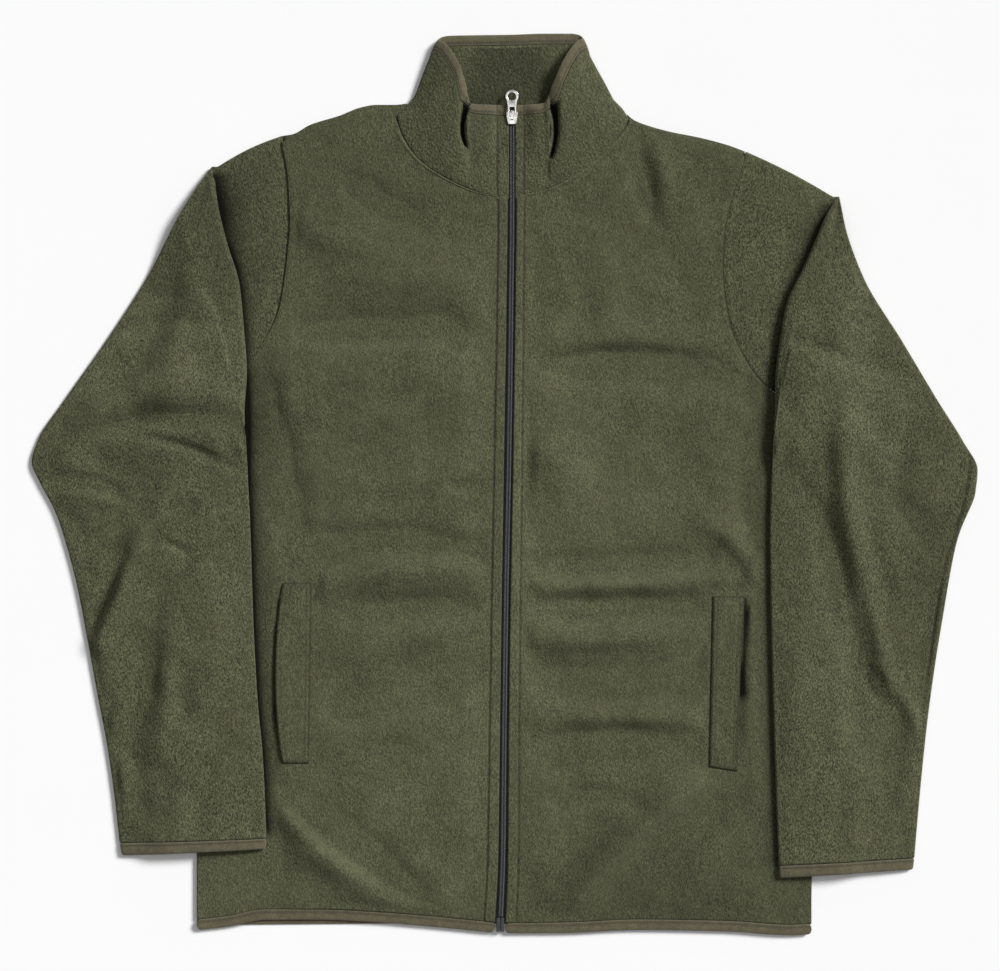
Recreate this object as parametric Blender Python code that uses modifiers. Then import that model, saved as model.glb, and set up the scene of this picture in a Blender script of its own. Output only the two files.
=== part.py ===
"""Fleece jacket with a stand collar and a full zip, laid flat on its back with its sleeves down.

Seen from above, +Y runs towards the collar and +X to the viewer's right. Left and right below are the
viewer's. The origin is on the surface that the jacket lies on, under the middle of its outline.
Sizes are in millimetres until a mesh is made.
"""

import math
from collections import namedtuple

import bmesh
import bpy
import numpy as np

MM = 0.001

# Cloth and seams
CLOTH = 2.0
GAP = 0.3
LAYER = CLOTH + GAP
FRONT_LOW = LAYER
FRONT_TOP = FRONT_LOW + CLOTH
SEAM = 2.0 * GAP

# Body
SIDE_LEFT = -277.0
SIDE_RIGHT = 275.5
ZIP_STRIP_RISE = 1.0
BODY_LOFT = 2.0
POCKET_RISE = 2.2
# Where a front lies low: by the sleeve's edge, along the zip, at the neck and along the hem
SLEEVE_CLEAR = 4.0
HEAD_LOW_Y = 75.0
HEAD_LOW_X = 235.0
EDGE_RAMP = 34.0
STRIP_HALF = 30.0
STRIP_RAMP = 30.0
CROWN_START = 12.0
CROWN_RAMP = 40.0
NECK_LOW_Y = 225.0
NECK_HALF = 150.0
NECK_RAMP = 60.0
HEM_LOW_Y = -398.0
HEM_RAMP = 26.0
# The level ground that a pocket welt lies on
POCKET_MARGIN_IN = 46.0
POCKET_RAMP_IN = 24.0
POCKET_MARGIN_END = 62.0
POCKET_RAMP_END = 34.0
POCKET_RAMP_OUT = 17.0

# Trim
BINDING = 9.5
HEM_BINDING_THICK = 2.6
CUFF_BINDING_WALL = 2.4
COLLAR_BINDING_THICK = 2.6
WELT_THICK = 1.6

# Zip
TAPE_THICK = 0.7
TAPE_WIDTH = 14.0
COIL_WIDTH = 2.1
COIL_HEIGHT = 2.2
ZIP_BOTTOM = -390.3
ZIP_TOP = 322.6
BOX_SIZE = (7.0, 12.6, 3.3)
SLIDER_SIZE = (10.0, 11.6, 1.2)
SLIDER_Y = 328.0
SLIDER_LOW = 6.3
CORE_SIZE = (4.0, 9.0)
HINGE_Y = 329.4
HINGE_Z = 8.7
TAB_THICK = 1.2
TAB_RING_RADIUS = 5.9
TAB_HOLE_RADIUS = 3.6
TAB_RING_CENTRE = 17.6
TAB_WAIST_HALF = 3.9
TAB_SLOT_HALF = 2.3
TAB_SLOT_END = 8.1
BAR_HALF = 0.6
ARCH_HALF_WIDTH = 1.3
ARCH_BACK = 3.9
ARCH_FRONT = 5.2
ARCH_CLEAR = 1.1
ARCH_THICK = 0.9
ARCH_CORNER = 0.75

# Sleeves
SLEEVE_LOFT = 3.0
FOLD_RADIUS = 2.3
WALL_HALF = CLOTH + 0.5 * GAP
FOLD_OPENS_BY = 0.16
LEAST_DEPTH = 1.5
COLUMNS = np.array([0.0, 0.03, 0.06, 0.09, 0.12, 0.16, 0.3, 0.46, 0.62, 0.78, 0.92, 1.0])
ARC_STEPS = 5
EDGE_STEPS = 3

FLEECE = (0.082, 0.087, 0.046)
TRIM = (0.118, 0.105, 0.067)
BLACK = (0.018, 0.02, 0.024)
STEEL = (0.75, 0.75, 0.76)

Point = namedtuple("Point", "x y")
Row = namedtuple("Row", "inner_x inner_y outer_x outer_y bow")
Across = namedtuple("Across", "outer_x outer_y inner_x inner_y")
Station = namedtuple("Station", "seam_x seam_y seam_z top_x top_y top_z")
Fold = namedtuple("Fold", "x0 y0 x1 y1 height width")
Level = namedtuple("Level", "y x")
Waist = namedtuple("Waist", "height share")

# Middle of the zip from hem to collar
ZIP_LINE = (
    Level(-404, -4.6), Level(-330, -1.8), Level(-240, -0.9), Level(-105, 0.9),
    Level(30, 3.6), Level(165, 5.4), Level(255, 6.3), Level(345, 6.3),
)

# Each front in rows from hem to shoulder: zip or neck end, then side, armhole or shoulder end
LEFT_FRONT = (
    Row(-9.2, -394.6, SIDE_LEFT, -392.0, 0.0),
    Row(-6.2, -340, SIDE_LEFT, -340, 0.0),
    Row(-4.7, -240, SIDE_LEFT, -240, 0.0),
    Row(-2.9, -105, -276.5, -105, 0.0),
    Row(-0.9, 20, -275.5, 10, 0.0),
    Row(0.2, 90, -274.5, 61.2, 0.0),
    Row(1.0, 130, -243, 92.7, 0.0),
    Row(1.4, 165, -218.7, 124.2, 0.0),
    Row(1.9, 200, -202.5, 155.7, 0.0),
    Row(2.3, 232, -195.3, 200.7, 0.0),
    Row(2.5, 255.0, -192.6, 236.7, 0.0),
    Row(-22.5, 260.5, -193.6, 262, 1.0),
    Row(-49.5, 271.8, -195.3, 281.7, 2.0),
    Row(-76.8, 289.7, -197.5, 294, 3.0),
    Row(-91, 308.2, -199.0, 301, 5.0),
    Row(-98.6, 327.5, -199.8, 306.3, 8.0),
)
RIGHT_FRONT = (
    Row(0.2, -394.8, SIDE_RIGHT, -395.4, 0.0),
    Row(2.2, -340, SIDE_RIGHT, -340, 0.0),
    Row(2.9, -240, SIDE_RIGHT, -240, 0.0),
    Row(4.7, -105, 276, -105, 0.0),
    Row(7.0, 20, 279, 10, 0.0),
    Row(7.9, 90, 281.7, 61.2, 0.0),
    Row(8.6, 130, 242.1, 80.5, 0.0),
    Row(9.0, 165, 216, 110.7, 0.0),
    Row(9.5, 200, 200.5, 148, 0.0),
    Row(9.9, 232, 195.3, 191.7, 0.0),
    Row(10.1, 255.0, 197.1, 227.7, 0.0),
    Row(36, 263.0, 201.5, 250, 0.0),
    Row(63.4, 276.4, 207, 268, 0.0),
    Row(91.2, 298.8, 211.5, 281, 0.0),
    Row(103, 311.5, 213.9, 288.5, 0.0),
    Row(112, 324.3, 215.6, 294.0, 1.0),
)
POCKETS = {
    "left": (Row(-173.7, -89.5, -199, -89.5, 5.5), Row(-176, -252, -199.5, -252, 5.5)),
    "right": (Row(186.3, -101.7, 215.5, -101.7, 3.0), Row(183, -255, 208.5, -259, 3.0)),
}

# The row of each front that ends at the underarm; the armhole runs from there to the shoulder
UNDERARM_ROW = 5
SHOULDER_TIPS = {"left": Point(-199.8, 312.3), "right": Point(215.8, 298.2)}

# Where the hanging sleeve turns back over its own head, from shoulder to underarm
SLEEVE_FOLDS = {
    "left": (
        Point(-264.5, 284.5), Point(-262, 266), Point(-258.6, 244), Point(-252.5, 219), Point(-243.8, 194),
        Point(-239.4, 173), Point(-236.2, 137.7), Point(-233.1, 92.7), Point(-232.2, 52.2),
    ),
    "right": (
        Point(300, 257.5), Point(288.5, 237), Point(276.5, 208), Point(262.5, 178.5), Point(253, 155.7),
        Point(248, 124.2), Point(244, 92.7), Point(240.3, 47.7),
    ),
}
FOLD_DEPTH = {"left": 48.0, "right": 50.0}
HEAD_BOW = {"left": 2.5, "right": 1.8}
# The hanging sleeves, outer edge against inner edge, from the fold to the cuff
ARMS = {
    "left": (
        Across(-291, 243, -232, 38), Across(-323.1, 182.7, -231.5, 24), Across(-358, 128.7, -231, 8),
        Across(-396, 74.7, -230, -12), Across(-419.4, 40, -229, -30), Across(-425.7, 19, -228.5, -45),
        Across(-418.5, 1, -228, -58), Across(-404, -27, -227.4, -80), Across(-386.1, -87.3, -226, -122),
        Across(-369, -177.3, -222.5, -190), Across(-354.7, -255, -217, -252),
        Across(-346.5, -323.6, -214.2, -319.2),
    ),
    "right": (
        Across(304.2, 232, 240, 36), Across(323.1, 182.7, 239.5, 22), Across(356.4, 128.7, 239, 6),
        Across(388.8, 74.7, 238.3, -12), Across(411.3, 38.7, 237.8, -28), Across(425, 12, 237.6, -46),
        Across(423, -9, 237.6, -60), Across(406.8, -51.3, 238, -88), Across(393.3, -123.3, 239, -140),
        Across(381, -205, 241, -214), Across(372.6, -285.3, 243.6, -290),
        Across(368.1, -337.2, 245.7, -343.5),
    ),
}
CUFF_ENDS = {
    "left": Across(-344.4, -334.8, -215.1, -328.6),
    "right": Across(366.9, -347.4, 246.4, -354.4),
}

# The collar from the zip round to the middle of the back, seam edge against top edge
COLLAR_LEFT = (
    Station(3.6, 255.9, 4.4, 3.6, 339.5, 4.7),
    Station(-19.5, 260.6, 4.6, -22.5, 339.9, 4.8),
    Station(-29, 264.0, 4.5, -31.5, 341.2, 5.2),
    Station(-37, 267.5, 4.8, -35.2, 357.0, 11.5),
    Station(-52, 275.0, 5.4, -40.8, 375.0, 15.0),
    Station(-74, 289.2, 5.6, -48.6, 388.0, 13.0),
    Station(-88.5, 307.6, 5.4, -55.0, 395.8, 9.5),
    Station(-96.4, 329.5, 3.2, -59.6, 398.2, 5.8),
    Station(-94.2, 331.6, 1.4, -57.2, 400.6, 2.6),
    Station(-88, 329.8, 1.05, -51.5, 402.2, 1.6),
    Station(-58.5, 323.1, 1.0, -26, 402.8, 1.5),
    Station(6.3, 318.6, 1.0, 5.4, 403.2, 1.5),
)
COLLAR_RIGHT = (
    Station(9.0, 255.9, 4.4, 9.0, 339.5, 4.7),
    Station(29.5, 261.6, 4.6, 28.0, 340.2, 4.8),
    Station(36.5, 264.4, 4.5, 35.2, 341.6, 5.2),
    Station(43, 267.4, 4.8, 43.0, 358.5, 11.5),
    Station(57, 273.6, 5.3, 50.6, 376.0, 14.5),
    Station(79.5, 289.6, 5.6, 58.0, 388.5, 12.5),
    Station(98.5, 308.0, 5.4, 65.0, 397.0, 9.0),
    Station(110.6, 326.8, 3.2, 69.4, 400.0, 5.8),
    Station(108.2, 329.4, 1.4, 66.6, 402.8, 2.6),
    Station(102, 328.8, 1.05, 60, 404.2, 1.6),
    Station(70, 323.1, 1.0, 35, 404.2, 1.5),
    Station(6.3, 318.6, 1.0, 5.4, 403.2, 1.5),
)
# How far the collar is drawn in towards its middle above the neck seam, where it folds back
COLLAR_MIDDLE = 6.0
COLLAR_WAIST = {
    "left": (
        Waist(0.0, 0.0), Waist(0.1, 0.04), Waist(0.2, 0.062), Waist(0.28, 0.069), Waist(0.6, 0.036),
        Waist(0.9, 0.0), Waist(1.0, 0.0),
    ),
    "right": (
        Waist(0.0, 0.0), Waist(0.12, 0.01), Waist(0.22, 0.046), Waist(0.45, 0.041), Waist(0.75, 0.05),
        Waist(0.9, 0.015), Waist(1.0, 0.0),
    ),
}
COLLAR_STEP = 11.0
COLLAR_ROWS = 6
COLLAR_SPLIT_LEAST = 0.7
COLLAR_CORNER = (342.0, 375.0)
COLLAR_HEIGHT = 85.0
COLLAR_SWELL = 2.0

# Shoulders and neck of the back, from left to right
BACK_SHOULDER_LEFT = (Point(-199.8, 312.3), Point(-190.8, 313.8), Point(-175.5, 322.2), Point(-148.5, 330.6),
                      Point(-130.5, 337.7), Point(-116, 340.2), Point(-98, 340.2), Point(-87, 341.8))
NECK_CORNER_LEFT = (Point(-87, 341.8), Point(-90.9, 337.1), Point(-94.8, 333.6), Point(-98.6, 330.2),
                    Point(-99.0, 327.2))
BACK_NECK = (Point(-90, 326.8), Point(-58.5, 321.1), Point(6.3, 316.8), Point(70, 321.1), Point(101, 325.2))
NECK_CORNER_RIGHT = (Point(112.6, 324.0), Point(112.5, 327.6), Point(110.2, 331.2))
BACK_SHOULDER_RIGHT = (Point(110.2, 331.2), Point(116.1, 326.4), Point(130.5, 320.9), Point(148.5, 316.0),
                       Point(175.5, 310.6), Point(202.5, 303.3), Point(215.8, 298.2))

# Lower edges of the hem, from left to right
HEM_BACK = (Point(-277, -399.4), Point(-230, -397.2), Point(-100, -396.4), Point(140, -397.4),
            Point(275.5, -399.4))
HEM_FRONTS = {
    "left": (Point(-277, -402.0), Point(-248, -398.6), Point(-216, -392.8), Point(-166, -392.6),
             Point(-112.5, -395.1), Point(-67.5, -398.7), Point(-9.0, -404.4)),
    "right": (Point(0.2, -404.8), Point(50, -404.6), Point(120, -401.8), Point(200, -403.2),
              Point(256, -406.6), Point(275.5, -405.6)),
}

# The largest soft folds of each front and each sleeve: middle line, height and half width
BODY_FOLDS = {
    "left": (
        Fold(-200, 66, -20, 78, 2.4, 24), Fold(-215, 0, -60, 6, 1.8, 22), Fold(-160, -52, -20, -62, 2.2, 26),
        Fold(-190, -330, -70, -372, 2.4, 20), Fold(-160, 236, -60, 190, 2.0, 26),
    ),
    "right": (
        Fold(30, 84, 190, 64, 2.2, 26), Fold(50, -30, 200, -44, 2.0, 26), Fold(40, -150, 150, -160, 1.6, 24),
        Fold(70, -372, 180, -322, 2.2, 20), Fold(70, 190, 160, 240, 1.8, 24),
    ),
}
ARM_FOLDS = {
    "left": (
        Fold(-387, 39, -283, 75, 3.0, 17), Fold(-342, 39, -252, 21, 2.4, 15),
        Fold(-369, -155, -337, -78, 3.0, 12), Fold(-337, -78, -319, -51, 2.0, 14),
        Fold(-300, -230, -262, -120, 1.6, 20),
    ),
    "right": (
        Fold(310, 48, 337, -70, 3.0, 16), Fold(337, -70, 356, -141, 2.4, 16),
        Fold(356, -141, 360, -196, 2.0, 14), Fold(270, 110, 345, 60, 2.2, 18),
        Fold(270, -120, 300, -250, 1.6, 20),
    ),
}
OUTWARD = {"left": -1.0, "right": 1.0}


def smooth(t):
    """Soft step from 0 to 1 as t goes from 0 to 1."""
    t = np.clip(t, 0.0, 1.0)
    return t * t * (3.0 - 2.0 * t)


def slopes_of(knots, values):
    """Slopes at each knot that keep a curve through the values from swinging past them."""
    step = np.diff(knots)[:, None]
    rise = np.diff(values, axis=0) / step
    slopes = np.empty_like(values)
    slopes[0] = rise[0]
    slopes[-1] = rise[-1]
    first, second = rise[:-1], rise[1:]
    same = first * second > 0.0
    total = np.where(same, first + second, 1.0)
    slopes[1:-1] = np.where(same, 2.0 * first * second / total, 0.0)
    return slopes


def through(knots, values, where):
    """Values of a smooth curve through (knots, values), one row for each entry of where."""
    knots = np.asarray(knots, float)
    values = np.asarray(values, float).reshape(len(knots), -1)
    where = np.clip(np.asarray(where, float), knots[0], knots[-1])
    slopes = slopes_of(knots, values)
    cell = np.clip(np.searchsorted(knots, where, side="right") - 1, 0, len(knots) - 2)
    step = (knots[cell + 1] - knots[cell])[:, None]
    t = (where - knots[cell])[:, None] / step
    start = (1 + 2 * t) * (1 - t) ** 2 * values[cell] + t * (1 - t) ** 2 * step * slopes[cell]
    end = t * t * (3 - 2 * t) * values[cell + 1] - t * t * (1 - t) * step * slopes[cell + 1]
    return start + end


def lengths_along(points):
    """Distance along a line of points, from 0 at its start."""
    steps = np.linalg.norm(np.diff(np.asarray(points, float)[:, :2], axis=0), axis=1)
    return np.concatenate([[0.0], np.cumsum(steps)])


def resample(points, count):
    """That many points, evenly spaced along the smooth curve through the given ones."""
    along = lengths_along(points)
    return through(along, points, np.linspace(0.0, along[-1], count))


def beside(points, distance):
    """A line of points moved sideways, to the left of its run for a positive distance."""
    points = np.asarray(points, float)
    run = np.gradient(points, axis=0)
    run /= np.linalg.norm(run, axis=1)[:, None]
    return points + distance * np.stack([-run[:, 1], run[:, 0]], axis=1)


def along_line(points, shares):
    """Points at the given shares of the length of a line of straight runs."""
    along = lengths_along(points)
    points = np.asarray(points, float)
    return np.stack([np.interp(shares * along[-1], along, points[:, k]) for k in (0, 1)], axis=1)


def armhole(side):
    """Outer ends of a front's rows, from the shoulder tip down to the underarm."""
    rows = LEFT_FRONT if side == "left" else RIGHT_FRONT
    ends = [Point(row.outer_x, row.outer_y) for row in rows[UNDERARM_ROW:-1]]
    return [SHOULDER_TIPS[side], *reversed(ends)]


def zip_x(y):
    """X of the middle of the zip at each y."""
    table = np.array(ZIP_LINE, float)
    return through(table[:, 0], table[:, 1], np.ravel(y))[:, 0].reshape(np.shape(y))


def fold_heights(x, y, folds):
    """Sum of soft ridges: a bell across each middle line, fading at its two ends."""
    total = np.zeros(np.shape(x))
    for fold in folds:
        run_x, run_y = fold.x1 - fold.x0, fold.y1 - fold.y0
        length = math.hypot(run_x, run_y)
        along = ((x - fold.x0) * run_x + (y - fold.y0) * run_y) / length
        aside = ((y - fold.y0) * run_x - (x - fold.x0) * run_y) / length
        past = np.maximum(np.maximum(-along, along - length), 0.0)
        total += fold.height * np.exp(-(aside * aside + past * past) / fold.width ** 2)
    return total


# ---- meshes ----

def make_material(name, colour, roughness, metallic=0.0):
    material = bpy.data.materials.new(name)
    material.use_nodes = True
    shader = material.node_tree.nodes["Principled BSDF"]
    shader.inputs["Base Color"].default_value = (*colour, 1.0)
    shader.inputs["Roughness"].default_value = roughness
    shader.inputs["Metallic"].default_value = metallic
    return material


def add_object(collection, name, mesh, colour, roughness=0.95, metallic=0.0):
    """The named piece, with a material of its own."""
    piece = bpy.data.objects.new(name, mesh)
    collection.objects.link(piece)
    mesh.materials.append(make_material(name, colour, roughness, metallic))
    return piece


def grid_mesh(name, grid, ring=False):
    """Mesh of an open sheet, or of a tube when the second direction closes on itself."""
    rows, across = grid.shape[:2]
    index = np.arange(rows * across).reshape(rows, across)
    index = np.hstack([index, index[:, :1]]) if ring else index
    faces = np.stack([index[:-1, :-1], index[:-1, 1:], index[1:, 1:], index[1:, :-1]], axis=-1)
    mesh = bpy.data.meshes.new(name)
    mesh.from_pydata((grid.reshape(-1, 3) * MM).tolist(), [], faces.reshape(-1, 4).tolist())
    return mesh


def upward(mesh):
    """Turns an open sheet so that its faces look up."""
    shape = bmesh.new()
    shape.from_mesh(mesh)
    if sum(face.normal.z * face.calc_area() for face in shape.faces) < 0.0:
        bmesh.ops.reverse_faces(shape, faces=shape.faces)
    shape.to_mesh(mesh)
    shape.free()


def solidify(piece, thickness, offset):
    """Gives an open sheet its thickness: offset 1 adds it above, 0 half on each side."""
    wall = piece.modifiers.new("Wall", "SOLIDIFY")
    wall.thickness = thickness * MM
    wall.offset = offset
    wall.use_even_offset = False
    return wall


def add_sheet(collection, name, grid, thickness, offset, colour):
    mesh = grid_mesh(name, grid)
    upward(mesh)
    piece = add_object(collection, name, mesh, colour)
    solidify(piece, thickness, offset)
    return piece


def add_closed(collection, name, mesh, colour, roughness=0.95, metallic=0.0):
    """A closed solid whose faces are turned outwards."""
    shape = bmesh.new()
    shape.from_mesh(mesh)
    bmesh.ops.recalc_face_normals(shape, faces=shape.faces)
    if shape.calc_volume(signed=True) < 0.0:
        bmesh.ops.reverse_faces(shape, faces=shape.faces)
    shape.to_mesh(mesh)
    shape.free()
    return add_object(collection, name, mesh, colour, roughness, metallic)


def tube_mesh(name, outer, inner):
    """Walled tube between an outer and an inner shell of rings, open at both ends.

    The upper layer, the lower layer and both shells are split along the same diagonals in plan, so that
    the layers, which lie close together, never cross.
    """
    rows, across = outer.shape[:2]
    shells = np.concatenate([outer, inner[::-1]])
    index = np.arange(2 * rows * across).reshape(2 * rows, across)
    index = np.vstack([index, index[:1]])
    index = np.hstack([index, index[:, :1]])
    a, b, c, d = index[:-1, :-1], index[:-1, 1:], index[1:, 1:], index[1:, :-1]
    lower_layer = np.arange(across) >= across // 2
    inner_shell = np.arange(2 * rows) >= rows
    turned = (inner_shell[:, None] != lower_layer)[..., None]
    halves = [
        np.where(turned, np.stack([a, b, d], axis=-1), np.stack([a, b, c], axis=-1)),
        np.where(turned, np.stack([b, c, d], axis=-1), np.stack([a, c, d], axis=-1)),
    ]
    mesh = bpy.data.meshes.new(name)
    mesh.from_pydata((shells.reshape(-1, 3) * MM).tolist(), [], np.reshape(halves, (-1, 3)).tolist())
    return mesh


def wall_mesh(name, lower, upper):
    """Closed wall between two sheets of the same rows and columns."""
    rows, across = lower.shape[:2]
    index = np.arange(2 * rows * across).reshape(2, rows, across)
    rim = [
        np.concatenate([sheet[0, :-1], sheet[:-1, -1], sheet[-1, :0:-1], sheet[:0:-1, 0]]) for sheet in index
    ]
    faces = [
        np.stack([sheet[:-1, :-1], sheet[:-1, 1:], sheet[1:, 1:], sheet[1:, :-1]], axis=-1).reshape(-1, 4)
        for sheet in index
    ]
    sides = np.stack([rim[0], np.roll(rim[0], -1), np.roll(rim[1], -1), rim[1]], axis=-1)
    points = np.concatenate([lower.reshape(-1, 3), upper.reshape(-1, 3)]) * MM
    mesh = bpy.data.meshes.new(name)
    mesh.from_pydata(points.tolist(), [], np.concatenate([*faces, sides]).tolist())
    return mesh


def bar_mesh(name, path, width, low, high, rounding=0.35):
    """Bar with softened edges along a path in plan, from one height to another."""
    path = np.asarray(path, float)
    along = np.gradient(path, axis=0)
    aside = np.stack([-along[:, 1], along[:, 0]], axis=1) / np.linalg.norm(along, axis=1)[:, None]
    half, tall = 0.5 * width, high - low
    cut = rounding * min(tall, width)
    profile = np.array([
        (-half + cut, low), (half - cut, low), (half, low + cut), (half, high - cut),
        (half - cut, high), (-half + cut, high), (-half, high - cut), (-half, low + cut),
    ])
    rings = np.empty((len(path), len(profile), 3))
    rings[..., :2] = path[:, None, :] + profile[None, :, :1] * aside[:, None, :]
    rings[..., 2] = profile[None, :, 1]
    mesh = grid_mesh(name, rings, ring=True)
    shape = bmesh.new()
    shape.from_mesh(mesh)
    shape.verts.ensure_lookup_table()
    last = (len(path) - 1) * len(profile)
    shape.faces.new([shape.verts[i] for i in range(len(profile))])
    shape.faces.new([shape.verts[last + i] for i in range(len(profile))])
    shape.to_mesh(mesh)
    shape.free()
    return mesh


def outline_mesh(name, outlines, thickness):
    """Flat plate from closed outlines; an outline inside another is a hole."""
    curve = bpy.data.curves.new(name, "CURVE")
    curve.dimensions = "2D"
    curve.fill_mode = "BOTH"
    curve.extrude = 0.5 * thickness * MM
    for outline in outlines:
        spline = curve.splines.new("POLY")
        spline.points.add(len(outline) - 1)
        for point, (x, y) in zip(spline.points, outline):
            point.co = (x * MM, y * MM, 0.0, 1.0)
        spline.use_cyclic_u = True
    guide = bpy.data.objects.new(name, curve)
    bpy.context.scene.collection.objects.link(guide)
    graph = bpy.context.evaluated_depsgraph_get()
    mesh = bpy.data.meshes.new_from_object(guide.evaluated_get(graph))
    bpy.data.objects.remove(guide)
    bpy.data.curves.remove(curve)
    shape = bmesh.new()
    shape.from_mesh(mesh)
    bmesh.ops.remove_doubles(shape, verts=shape.verts, dist=1e-6)
    bmesh.ops.recalc_face_normals(shape, faces=shape.faces)
    shape.to_mesh(mesh)
    shape.free()
    mesh.materials.clear()
    return mesh


# ---- body ----

def sleeve_edge(side, y):
    """Plan x of the sleeve's inner edge over the body at each y."""
    fold = [(p.y, p.x) for p in SLEEVE_FOLDS[side]]
    arm = [(a.inner_y, a.inner_x) for a in ARMS[side]]
    cuff = CUFF_ENDS[side]
    table = np.array(sorted(fold + arm + [(cuff.inner_y, cuff.inner_x)]))
    return np.interp(y, table[:, 0], table[:, 1])


def body_height(x, y, side):
    """Rise of a front above lying flat: none under the sleeve, a strip by the zip, loft and folds between."""
    out = OUTWARD[side]
    free = out * sleeve_edge(side, y) - SLEEVE_CLEAR
    limit = np.where(y > HEAD_LOW_Y, np.minimum(free, HEAD_LOW_X), free)
    from_sleeve = smooth((limit - out * x) / EDGE_RAMP)
    from_zip = np.abs(x - zip_x(y))
    at_neck = smooth((y - NECK_LOW_Y) / NECK_RAMP) * smooth((NECK_HALF - np.abs(x)) / NECK_RAMP)
    strip = np.maximum(1.0 - smooth((from_zip - STRIP_HALF) / STRIP_RAMP), at_neck)
    crown = from_sleeve * smooth((from_zip - CROWN_START) / CROWN_RAMP) * (1.0 - 0.8 * at_neck)
    crown *= smooth((y - HEM_LOW_Y) / HEM_RAMP)
    rise = crown * (BODY_LOFT + fold_heights(x, y, BODY_FOLDS[side])) + ZIP_STRIP_RISE * strip
    top, bottom = POCKETS[side]
    beside_it = smooth((out * (x - top.inner_x) + POCKET_MARGIN_IN) / POCKET_RAMP_IN)
    above_end = smooth((y - bottom.inner_y + POCKET_MARGIN_END) / POCKET_RAMP_END)
    below_end = smooth((top.inner_y + POCKET_MARGIN_END - y) / POCKET_RAMP_END)
    flat = beside_it * above_end * below_end
    pocket = POCKET_RISE * smooth((limit - out * x) / POCKET_RAMP_OUT)
    return rise * (1.0 - flat) + pocket * flat


def hem_line(side, x):
    """Y of a front's lower edge at each x."""
    table = np.array(HEM_FRONTS[side], float)
    return through(table[:, 0], table[:, 1], x)[:, 0]


def front_grid(side, table):
    """Underside of a front: rows from hem to shoulder, each a line from zip or neck to side or armhole."""
    rows = np.array(table, float)
    where = np.concatenate([np.arange(0, UNDERARM_ROW, 0.5), np.arange(UNDERARM_ROW, len(rows), 1.0)])
    rows = through(np.arange(len(rows)), rows, where)
    inner, outer, bow = rows[:, 0:2], rows[:, 2:4], rows[:, 4]
    width = np.abs(outer[:, 0] - inner[:, 0])
    edge_y = 0.5 * (inner[:, 1] + outer[:, 1])
    cover = np.abs(sleeve_edge(side, outer[:, 1]) - OUTWARD[side] * SLEEVE_CLEAR - inner[:, 0]) / width
    cover = np.where(edge_y > 95.0, 0.95, np.minimum(cover, 0.95))
    fixed = np.minimum(1.0 / width, 1.0 / 277.0)
    first, second = 15.0 * fixed, 30.0 * fixed
    near, mid = cover - 18.0 * fixed, cover - 38.0 * fixed
    middle = [second + (mid - second) * k / 5.0 for k in range(1, 5)]
    columns = [0.0 * width, first, second, *middle, mid, near, cover, 0.0 * width + 1.0]
    share = np.stack(columns, axis=1)
    grid = np.empty((*share.shape, 3))
    grid[..., :2] = inner[:, None] + share[..., None] * (outer - inner)[:, None]
    grid[..., 1] += bow[:, None] * np.sin(np.pi * share)
    hem = hem_line(side, grid[0, :, 0]) + BINDING + SEAM - grid[0, :, 1]
    grid[..., 1] += np.maximum(1.0 - where, 0.0)[:, None] * hem
    grid[..., 2] = FRONT_LOW + body_height(grid[..., 0], grid[..., 1], side)
    return grid


def add_back(collection):
    """Flat panel cut from one outline: up the left armhole, over the shoulders and neck, down the right."""
    hem = np.array(HEM_BACK, float) + (0.0, BINDING + SEAM)
    arms = {side: np.array(armhole(side)) for side in OUTWARD}
    top = [resample(BACK_SHOULDER_LEFT, 11)[:-1], NECK_CORNER_LEFT, resample(BACK_NECK, 14)]
    top += [NECK_CORNER_RIGHT[:-1], resample(BACK_SHOULDER_RIGHT, 8)[:-1]]
    outline = np.concatenate([arms["left"][:0:-1], *top, arms["right"], hem[::-1]])
    mesh = outline_mesh("back_panel", [outline], CLOTH)
    piece = add_closed(collection, "back_panel", mesh, FLEECE)
    piece.location.z = 0.5 * CLOTH * MM
    return piece


def add_fronts(collection):
    for side, table in (("left", LEFT_FRONT), ("right", RIGHT_FRONT)):
        add_sheet(collection, f"front_{side}", front_grid(side, table), CLOTH, 1.0, FLEECE)


def add_pockets(collection):
    """Upright welts on the fronts, open at the edge towards the sleeve."""
    low = FRONT_TOP + POCKET_RISE + GAP
    for side, (top, bottom) in POCKETS.items():
        ends = np.array([bottom, top], float)
        t = np.linspace(0.0, 1.0, 9)
        edge = ends[0] + t[:, None] * (ends[1] - ends[0])
        share = np.linspace(0.0, 1.0, 4)
        bulge = OUTWARD[side] * edge[:, 4] * np.sin(np.pi * t) ** 0.7
        grid = np.empty((len(t), len(share), 3))
        grid[..., 0] = edge[:, :1] + share * (edge[:, 2:3] + bulge[:, None] - edge[:, :1])
        grid[..., 1] = edge[:, 1:2] + share * (edge[:, 3:4] - edge[:, 1:2])
        grid[..., 2] = low
        add_sheet(collection, f"pocket_welt_{side}", grid, WELT_THICK, 1.0, FLEECE)


def add_hem_bindings(collection):
    """Bars along the hem, each run on the points of its panel's edge."""
    back = resample(HEM_BACK, 16) + (0.0, 0.5 * BINDING)
    mesh = bar_mesh("hem_binding_back", back, BINDING, 0.0, CLOTH)
    add_closed(collection, "hem_binding_back", mesh, TRIM)
    for side, table in (("left", LEFT_FRONT), ("right", RIGHT_FRONT)):
        edge = front_grid(side, table)[0, :, :2]
        name = f"hem_binding_front_{side}"
        path = edge - (0.0, 0.5 * BINDING + SEAM)
        mesh = bar_mesh(name, path, BINDING, FRONT_LOW, FRONT_LOW + HEM_BINDING_THICK)
        add_closed(collection, name, mesh, TRIM)


# ---- sleeves ----

def fold_angle(v):
    """How far the sleeve has turned back at v: little at the shoulder edge, all the way further down."""
    return 0.25 + (math.pi - 0.25) * smooth(v / FOLD_OPENS_BY)


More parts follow.
